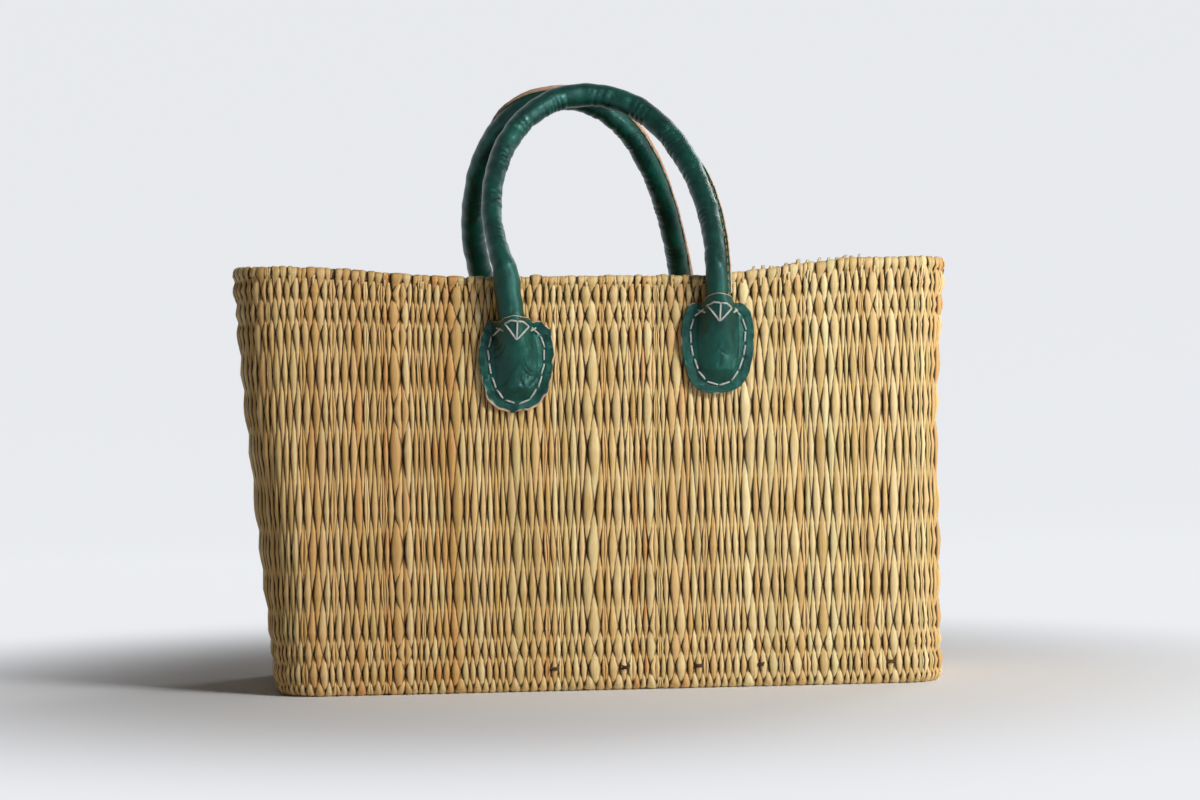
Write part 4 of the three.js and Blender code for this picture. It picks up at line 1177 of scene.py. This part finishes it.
def swept(centres, radius, sides):
    """Round sections carried along many lines at once: centres has the shape (lines, steps, 3), radius may vary along
    them. The section's first axis is kept level with y. Returns mesh data and UVs in centimetres, along and round."""
    along = unit(np.gradient(centres, axis=1))
    level = np.array([0.0, 1.0, 0.0])
    first = unit(level - along * (along * level).sum(-1, keepdims=True))
    angle = round_steps(sides)[:, None]
    ring = np.cos(angle) * first[:, :, None] + np.sin(angle) * np.cross(along, first)[:, :, None]
    uv = together(run_of(centres)[..., None] * CM, np.arange(sides) / sides).reshape(-1, 2)
    return many_tubes(centres[:, :, None] + np.broadcast_to(radius, centres.shape[:2])[..., None, None] * ring), uv


def build_patch_thread(shape, look):
    """The thread of one patch: each stitch rests on the leather and dips into its hole at both ends."""
    radius = look.thread_radius / MM
    x, v = np.moveaxis(thread_runs(shape), -1, 0)
    share = np.linspace(0, 1, x.shape[1])
    dip = 1.6 * (1 - smooth(np.minimum(share, 1 - share) / 0.1)) - 0.15
    centres = on_wall(shape, x, v, patch_height(shape, x, v) + PATCH_THICKNESS + radius * 0.75 - dip)
    mesh, uv = swept(centres, radius * (1 + 0.12 * np.sin(np.pi * share)), 8)
    material = thread_material("Waxed Thread", look.thread, 9.0)
    add_piece(f"{shape['name']}_stitches", mesh, material, "thread", [f"{shape['name']}_patch_thread"], uv=uv)


# Handles

# The seam's section: share of its height and of its half thickness at each point
SEAM_SECTION = np.array([
    (0.0, -1.0), (0.55, -1.0), (0.92, -0.96), (1.0, -0.62), (0.86, -0.08), (0.86, 0.08), (1.0, 0.62), (0.92, 0.96),
    (0.55, 1.0), (0.0, 1.0),
])
TUBE_POINTS = 36
HANDLE_STEP = 0.9
SEAM_STITCH_PITCH = 5.4
SEAM_STITCH_LENGTH = 3.2


def bezier(*points):
    a, b, c, d = np.array(points, float)
    t = np.linspace(0, 1, 80)[:, None]
    return (1 - t) ** 3 * a + 3 * (1 - t) ** 2 * t * b + 3 * (1 - t) * t**2 * c + t**3 * d


def handle_line(arch, shapes):
    """A handle's middle line, from one leg's tip over the arch to the other's, at even steps: in its own plane the
    arch is two Bezier curves that meet level at the crown. Returns x and rise over the hinge, smoothed by a running
    mean so that the legs pass into the arch without a kink."""
    left, right, crown = (arch[key] for key in ("left", "right", "crown"))
    (left_bow, right_bow), (left_flat, right_flat) = arch["bow"], arch["flat"]
    legs = []
    for shape in shapes:
        v = np.linspace(TIP, HINGE_LEVEL - shape["foot"], 60)
        legs.append(together(shape["x"] + leg_x(shape, v), shape["foot"] + v - HINGE_LEVEL))
    peak = (crown, ARCH_LENGTH)
    up = bezier((left, 0), (left - left_bow, ARCH_SHOULDER), (crown - left_flat, ARCH_LENGTH), peak)
    down = bezier(peak, (crown + right_flat, ARCH_LENGTH), (right + right_bow, ARCH_SHOULDER), (right, 0))
    line = np.concatenate([legs[0][:-1], up[:-1], down[:-1], legs[1][::-1]])
    line = even_steps(line, int(run_of(line)[-1] / HANDLE_STEP))
    span = int(9.0 / HANDLE_STEP)
    window = np.hanning(2 * span + 1)
    padded = np.concatenate([2 * line[:1] - line[span:0:-1], line, 2 * line[-1:] - line[-2 : -span - 2 : -1]])
    x, rise = (np.convolve(column, window / window.sum(), "valid") for column in padded.T)
    x = x + np.where(x < crown, *arch["pull"]) * bell(rise, 2.0, 30.0)
    return together(x, rise + arch["rise"] * smooth(rise / ARCH_LENGTH))


def handle_path(side, shapes, line):
    """Where the line lies in the room, with the normal that points out of the arch, the one across it, and the tube's
    width and thickness as shares. The legs hang along the wall, and above the hinge the arch leans in by a smooth
    ramp."""
    soft = 9.0
    x, rise = line.T
    ramp = (rise + np.sqrt(rise**2 + soft**2)) / 2 - soft / 2 * np.exp(-np.maximum(rise, 0) / 30.0)
    ramp = np.maximum(ramp, 0)
    left, right = shapes
    foot = np.where(x < (left["x"] + right["x"]) / 2, left["foot"], right["foot"])
    half_width, half_thickness, middle = leg_shape(HINGE_LEVEL + rise - foot)
    y = side * (HALF_DEPTH + middle - math.sin(LEAN) * ramp)
    centres = together(x, y, HINGE_LEVEL + rise - (1 - math.cos(LEAN)) * ramp)
    along = unit(np.gradient(centres, axis=0))
    lean = smooth((rise + 12.0) / 24.0) * LEAN
    across = together(0.0, side * np.cos(lean), np.sin(lean))
    across = unit(across - along * (along * across).sum(-1, keepdims=True))
    outward = np.cross(along, across) * side
    wide, thick = half_width / TUBE_HALF, half_thickness / TUBE_HALF
    return dict(centres=centres, outward=outward, across=across, wide=wide, thick=thick)


def round_path(path, n, b):
    """Points round each place of a path, n out of the arch and b across it, for a tube of full width."""
    n, b = (n * path["wide"][:, None])[..., None], (b * path["thick"][:, None])[..., None]
    return path["centres"][:, None] + n * path["outward"][:, None] + b * path["across"][:, None]


def handle_creases(side, rise, run, angle):
    """Creases across a handle's leather: two rows of ridges |sin|^0.7 and |sin|^0.8 whose spacing wanders, deep on the
    inner side of the arch, where the leather is bunched up, shallow on the outer side, and none on the legs."""
    wander = 1.1 * waves(61 + side, [0.05, 0.11, 0.19], run)
    bunch = np.abs(np.sin(np.pi * (run / 7.4 + wander + 0.22 * np.sin(angle + run / 9.0)))) ** 0.7
    fine = np.abs(np.sin(np.pi * (run / 3.1 + 1.7 * wander + 0.3 * np.sin(2 * angle)))) ** 0.8
    inner = np.clip(np.clip(-np.cos(angle), -0.35, 1.0) + 0.2, 0, 1)
    return (0.6 * (bunch - 0.7) + 0.06 * (fine - 0.7)) * (0.16 + 0.84 * inner) * smooth((rise + 4) / 30.0)


def build_handle(name, arch, shapes, look):
    """One handle's leather: a tube with its two edges sewn together as a standing seam, hollow for the rope, from
    inside one patch to inside the other. Its radius is that of the tube, changed by creases and slow lumps."""
    side = arch["side"]
    line = handle_line(arch, shapes)
    run = np.arange(len(line)) * HANDLE_STEP
    share = run / run[-1]
    turn, height, girth = (np.interp(share, *zip(*arch[key])) for key in ("seam_turn", "seam_height", "girth"))
    over_collar = HINGE_LEVEL + line[:, 1] - np.where(share < 0.5, shapes[0]["foot"], shapes[1]["foot"]) - COLLAR
    size = height * smooth((over_collar + 1.5) / 4.0) * look.seam_height / MM
    path = dict(handle_path(side, shapes, line), run=run, turn=turn, size=size)
    path["wide"], path["thick"] = path["wide"] * girth, path["thick"] * girth
    radius, thickness = look.tube_radius / MM, look.thickness / MM
    seam_half = thickness * 1.05
    foot = math.sqrt(radius**2 - seam_half**2)
    start = math.asin(seam_half / radius)
    sweep = np.linspace(start, 2 * np.pi - start, TUBE_POINTS)
    rows = np.ones((len(line), 1))
    n = np.concatenate([rows * radius * np.cos(sweep), foot + size[:, None] * SEAM_SECTION[:, 0]], axis=1)
    b = np.concatenate([rows * radius * np.sin(sweep), rows * seam_half * SEAM_SECTION[:, 1]], axis=1)
    angle = np.arctan2(b, n) + turn[:, None]
    on_seam = np.repeat([0.0, 1.0], (TUBE_POINTS, len(SEAM_SECTION)))
    crease = handle_creases(side, line[:, 1:], run[:, None], angle)
    lumps = 0.22 * waves(71 + side, [(0.21, 1), (0.33, 2), (0.52, -1), (0.12, -2)], run[:, None], angle)
    waver = 0.1 * waves(81, [0.3, 1.1], run)[:, None]
    grown = np.hypot(b, n) + (crease + lumps) * (1 - 0.75 * on_seam) + waver * on_seam
    bore = (radius - thickness) * 0.97
    outside, inside = (round_path(path, r * np.cos(angle), r * np.sin(angle)) for r in (grown, bore))
    bare = np.concatenate([np.zeros(TUBE_POINTS), SEAM_SECTION[:, 0] > arch["bare"]])
    # raw marks the bare cut edge of the seam; the crease mask marks the creases' valleys, which the leather material
    # darkens as painted shade
    outer = {"raw": bare * np.clip(size / 1.6, 0, 1)[:, None], "crease_shade": np.clip(-crease * 2.2, 0, 1) * (1 - on_seam)}
    covers = [f"{name}_cover"] + [f"{shape['name']}_leg_cover" for shape in shapes]
    add_piece(
        f"{name}_leather", many_tubes(np.concatenate([outside, inside[::-1]])[None], closed=True), leather_material(),
        "leather", covers, handle=(name, side), flip=side > 0,
        attributes={key: np.concatenate([values, np.zeros_like(values)]).ravel() for key, values in outer.items()},
    )
    build_rope(name, side, shapes, path, look)
    build_seam_thread(name, side, foot, seam_half, path)


def build_rope(name, side, shapes, path, look):
    """The rope inside: three strands, a section r(1 + 0.13 cos 3a) turned along the line, thinner towards its tips."""
    path = {key: values[3:-3:3] for key, values in path.items()}
    run = path["run"][:, None]
    angle = round_steps(18)
    radius = (look.tube_radius - look.thickness) / MM * 0.82 * (1 + 0.13 * np.cos(3 * (angle + run / 8.0)))
    points = round_path(path, radius * np.cos(angle), radius * np.sin(angle))
    uv = together(run * CM, angle / 6.3).reshape(-1, 2)
    ropes = [f"{name}_rope"] + [f"{shape['name']}_leg_rope" for shape in shapes]
    add_piece(
        f"{name}_rope_core", many_tubes(points[None]), thread_material("Rope", look.rope, 6.0), "rope", ropes,
        handle=(name, side), flip=side > 0, uv=uv,
    )


def build_seam_thread(name, side, foot, seam_half, path):
    """Small stitches along both sides of the seam, each a short tube that lies on the leather and dips in."""
    run = path["run"]
    first = np.arange(30.0, run[-1] - 30.0, SEAM_STITCH_PITCH)
    share = np.linspace(0, 1, 7)
    at = (first[:, None] + SEAM_STITCH_LENGTH * share).ravel()
    here = {key: sampled(at, run, values.reshape(len(run), -1)) for key, values in path.items()}
    cos, sin = np.cos(here["turn"]), np.sin(here["turn"])
    n = foot + here["size"] * 0.14
    lift = np.tile(0.5 * np.sin(np.pi * share) - 0.12, len(first))[:, None]
    lines = []
    for hand in (-1, 1):
        b = hand * (seam_half + lift * 0.8)
        outward = (n * cos - b * sin) * here["wide"] * here["outward"]
        across = (n * sin + b * cos) * here["thick"] * here["across"]
        lines.append((here["centres"] + outward + across).reshape(len(first), len(share), 3))
    shown = np.tile(np.interp(first, run, path["size"]) > 2.4, 2)
    mesh, uv = swept(np.concatenate(lines)[shown], 0.42, 6)
    material = thread_material("Seam Thread", colour(206, 172, 104), 9.0)
    add_piece(f"{name}_seam_stitches", mesh, material, "thread", [f"{name}_cover"], handle=(name, side), uv=uv)


# Stage

CAMERA_YAW, CAMERA_PITCH, CAMERA_ROLL = np.radians([6.34, 0.14, -0.74])
CAMERA_DISTANCE = 1.9
CAMERA_ASIDE = 0.0099
CAMERA_HEIGHT = 0.1789
CAMERA_LENS = 86.2
BLACK = (0.0, 0.0, 0.0, 1.0)


def link(name, data, place, turn):
    """Adds an object to the scene at a place, turned by a matrix."""
    made = bpy.data.objects.new(name, data)
    made.matrix_world = Matrix.Translation(Vector(place)) @ turn.to_4x4()
    bpy.context.scene.collection.objects.link(made)
    return made


def build_camera():
    """The camera at the photograph's place: turned to the left of the front, level with the middle of the bag."""
    sy, cy = math.sin(CAMERA_YAW), math.cos(CAMERA_YAW)
    ahead = Vector((sy * math.cos(CAMERA_PITCH), cy * math.cos(CAMERA_PITCH), math.sin(CAMERA_PITCH)))
    level = Vector((cy, -sy, 0.0))
    above = level.cross(ahead)
    right = level * math.cos(CAMERA_ROLL) + above * math.sin(CAMERA_ROLL)
    up = above * math.cos(CAMERA_ROLL) - level * math.sin(CAMERA_ROLL)
    data = bpy.data.cameras.new("camera")
    data.lens = CAMERA_LENS
    data.sensor_width = 36.0
    data.clip_end = 30.0
    place = (-CAMERA_DISTANCE * sy + CAMERA_ASIDE * cy, -CAMERA_DISTANCE * cy - CAMERA_ASIDE * sy, CAMERA_HEIGHT)
    bpy.context.scene.camera = link("camera", data, place, Matrix((right, up, -ahead)).transposed())


def build_light(name, place, aim, size, power):
    """A square soft light at a place, facing a point."""
    data = bpy.data.lights.new(name, "AREA")
    data.shape = "SQUARE"
    data.size = size
    data.energy = power
    link(name, data, place, (Vector(aim) - Vector(place)).to_track_quat("-Z", "Y").to_matrix())


def seen(tree):
    """1 on what the camera sees directly, in a reflection or through glass, 0 for the light that falls on things."""
    rays = node(tree, "LightPath").outputs
    direct = maths(tree, "MAXIMUM", rays["Is Camera Ray"], rays["Is Glossy Ray"])
    return maths(tree, "MAXIMUM", direct, rays["Is Transmission Ray"])


def build_floor(look):
    """Floor and backdrop in one sheet: flat under the bag, rising behind it along a quarter round. Away from the bag
    it fades into the plain colour of the backdrop."""
    near, far, bend, top, half_width = -20.0, 1.6, 1.2, 3.6, 20.0
    turns = np.linspace(0, np.pi / 2, 16)
    y = np.concatenate([[near], far + bend * np.sin(turns), [far + bend]])[:, None]
    z = np.concatenate([[0.0], bend * (1 - np.cos(turns)), [top]])[:, None]
    points = together([-half_width, 0.0, half_width], y, z) / MM
    quads = grid_faces(len(y), 3, closed_columns=False)
    made = make_mesh("floor", points.reshape(-1, 3), quads, flip=True)
    material, tree, shader = new_material("Floor")
    away = vector_maths(tree, "LENGTH", object_place(tree), output="Value")
    pale = times(tree, ranged(tree, away, 0.24, 0.64), seen(tree))
    wire(tree, shader, {
        "Base Color": blended(tree, pale, look.floor, BLACK),
        "Emission Color": blended(tree, pale, BLACK, look.backdrop),
        "Emission Strength": 1.0,
        "Roughness": 0.9,
        "Specular IOR Level": 0.2,
    })
    made.data.materials.append(material)


def build_surroundings(look):
    """An even warm light from all round, which the camera and reflections see as a plain grey."""
    world = bpy.data.worlds.new("Surroundings")
    world.use_nodes = True
    tree = world.node_tree
    light = shaded((1.0, 0.93, 0.84), look.world)
    wire(tree, tree.nodes["Background"], {"Color": blended(tree, seen(tree), light, look.room)})
    bpy.context.scene.world = world


# Operators

class WeaveWall(bpy.types.Operator):
    """Weave the wall and border of the bag from single rush stems"""

    bl_idname = "rush_bag.weave_wall"
    bl_label = "Weave Wall"
    bl_options = {"REGISTER", "UNDO"}

    def execute(self, context):
        build_rushes(context.scene.rush_settings)
        build_rim_strips(context.scene.rush_settings)
        return {"FINISHED"}


class WeaveBase(bpy.types.Operator):
    """Weave the bag's base from stems that cross its six cords"""

    bl_idname = "rush_bag.weave_base"
    bl_label = "Weave Base"
    bl_options = {"REGISTER", "UNDO"}

    def execute(self, context):
        build_base(context.scene.rush_settings)
        return {"FINISHED"}


class TwistCords(bpy.types.Operator):
    """Twist the cords that the rushes are woven over"""

    bl_idname = "rush_bag.twist_cords"
    bl_label = "Twist Cords"
    bl_options = {"REGISTER", "UNDO"}

    def execute(self, context):
        build_cords()
        build_knots()
        return {"FINISHED"}


class SewHandles(bpy.types.Operator):
    """Sew both leather handles round their ropes"""

    bl_idname = "rush_bag.sew_handles"
    bl_label = "Sew Handles"
    bl_options = {"REGISTER", "UNDO"}

    def execute(self, context):
        shapes = patch_shapes()
        for wall, arch in (("front", FRONT_ARCH), ("back", BACK_ARCH)):
            ends = (shapes[f"{wall}_left"], shapes[f"{wall}_right"])
            build_handle(f"{wall}_handle", arch, ends, context.scene.leather_settings)
        return {"FINISHED"}


class SewPatches(bpy.types.Operator):
    """Sew the four leather patches over the ends of the handles"""

    bl_idname = "rush_bag.sew_patches"
    bl_label = "Sew Patches"
    bl_options = {"REGISTER", "UNDO"}

    def execute(self, context):
        for shape in patch_shapes().values():
            build_patch(shape)
            build_patch_thread(shape, context.scene.leather_settings)
        return {"FINISHED"}


class SetStage(bpy.types.Operator):
    """Set the floor, the lights and the camera"""

    bl_idname = "rush_bag.set_stage"
    bl_label = "Set Stage"
    bl_options = {"REGISTER", "UNDO"}

    def execute(self, context):
        look = context.scene.stage_settings
        build_camera()
        build_floor(look)
        build_surroundings(look)
        build_light("key_light", (1.05, -1.2, 1.1), (0.0, 0.0, 0.15), 0.45, look.key)
        build_light("window_light", (1.75, -1.05, 0.42), (0.0, 0.0, 0.2), 0.5, look.fill)
        build_light("back_light", (1.6, 1.9, 1.5), (0.0, 0.0, 0.15), 0.8, look.back)
        context.scene.view_settings.view_transform = "Standard"
        return {"FINISHED"}


OPERATORS = (SetStage, TwistCords, WeaveWall, WeaveBase, SewHandles, SewPatches)
SETTINGS = {"rush_settings": RushSettings, "leather_settings": LeatherSettings, "stage_settings": StageSettings}


class RushBagPanel(bpy.types.Panel):
    """Lists the settings and the steps that make the bag."""

    bl_idname = "VIEW3D_PT_rush_bag"
    bl_label = "Woven Rush Bag"
    bl_space_type = "VIEW_3D"
    bl_region_type = "UI"
    bl_category = "Rush Bag"

    def draw(self, context):
        self.layout.use_property_split = True
        for key, group in SETTINGS.items():
            box = self.layout.box()
            box.label(text=key.replace("_", " ").title())
            for label in group.__annotations__:
                box.prop(getattr(context.scene, key), label)
        for operator in OPERATORS:
            self.layout.operator(operator.bl_idname)


CLASSES = (*SETTINGS.values(), *OPERATORS, RushBagPanel)


def register():
    for made in CLASSES:
        bpy.utils.register_class(made)
    for key, group in SETTINGS.items():
        setattr(bpy.types.Scene, key, bpy.props.PointerProperty(type=group))


def unregister():
    for key in SETTINGS:
        delattr(bpy.types.Scene, key)
    for made in reversed(CLASSES):
        bpy.utils.unregister_class(made)


def main():
    """Makes the whole bag."""
    register()
    bpy.ops.rush_bag.set_stage()
    bpy.ops.rush_bag.twist_cords()
    bpy.ops.rush_bag.weave_wall()
    bpy.ops.rush_bag.weave_base()
    bpy.ops.rush_bag.sew_handles()
    bpy.ops.rush_bag.sew_patches()


if __name__ == "__main__":
    main()
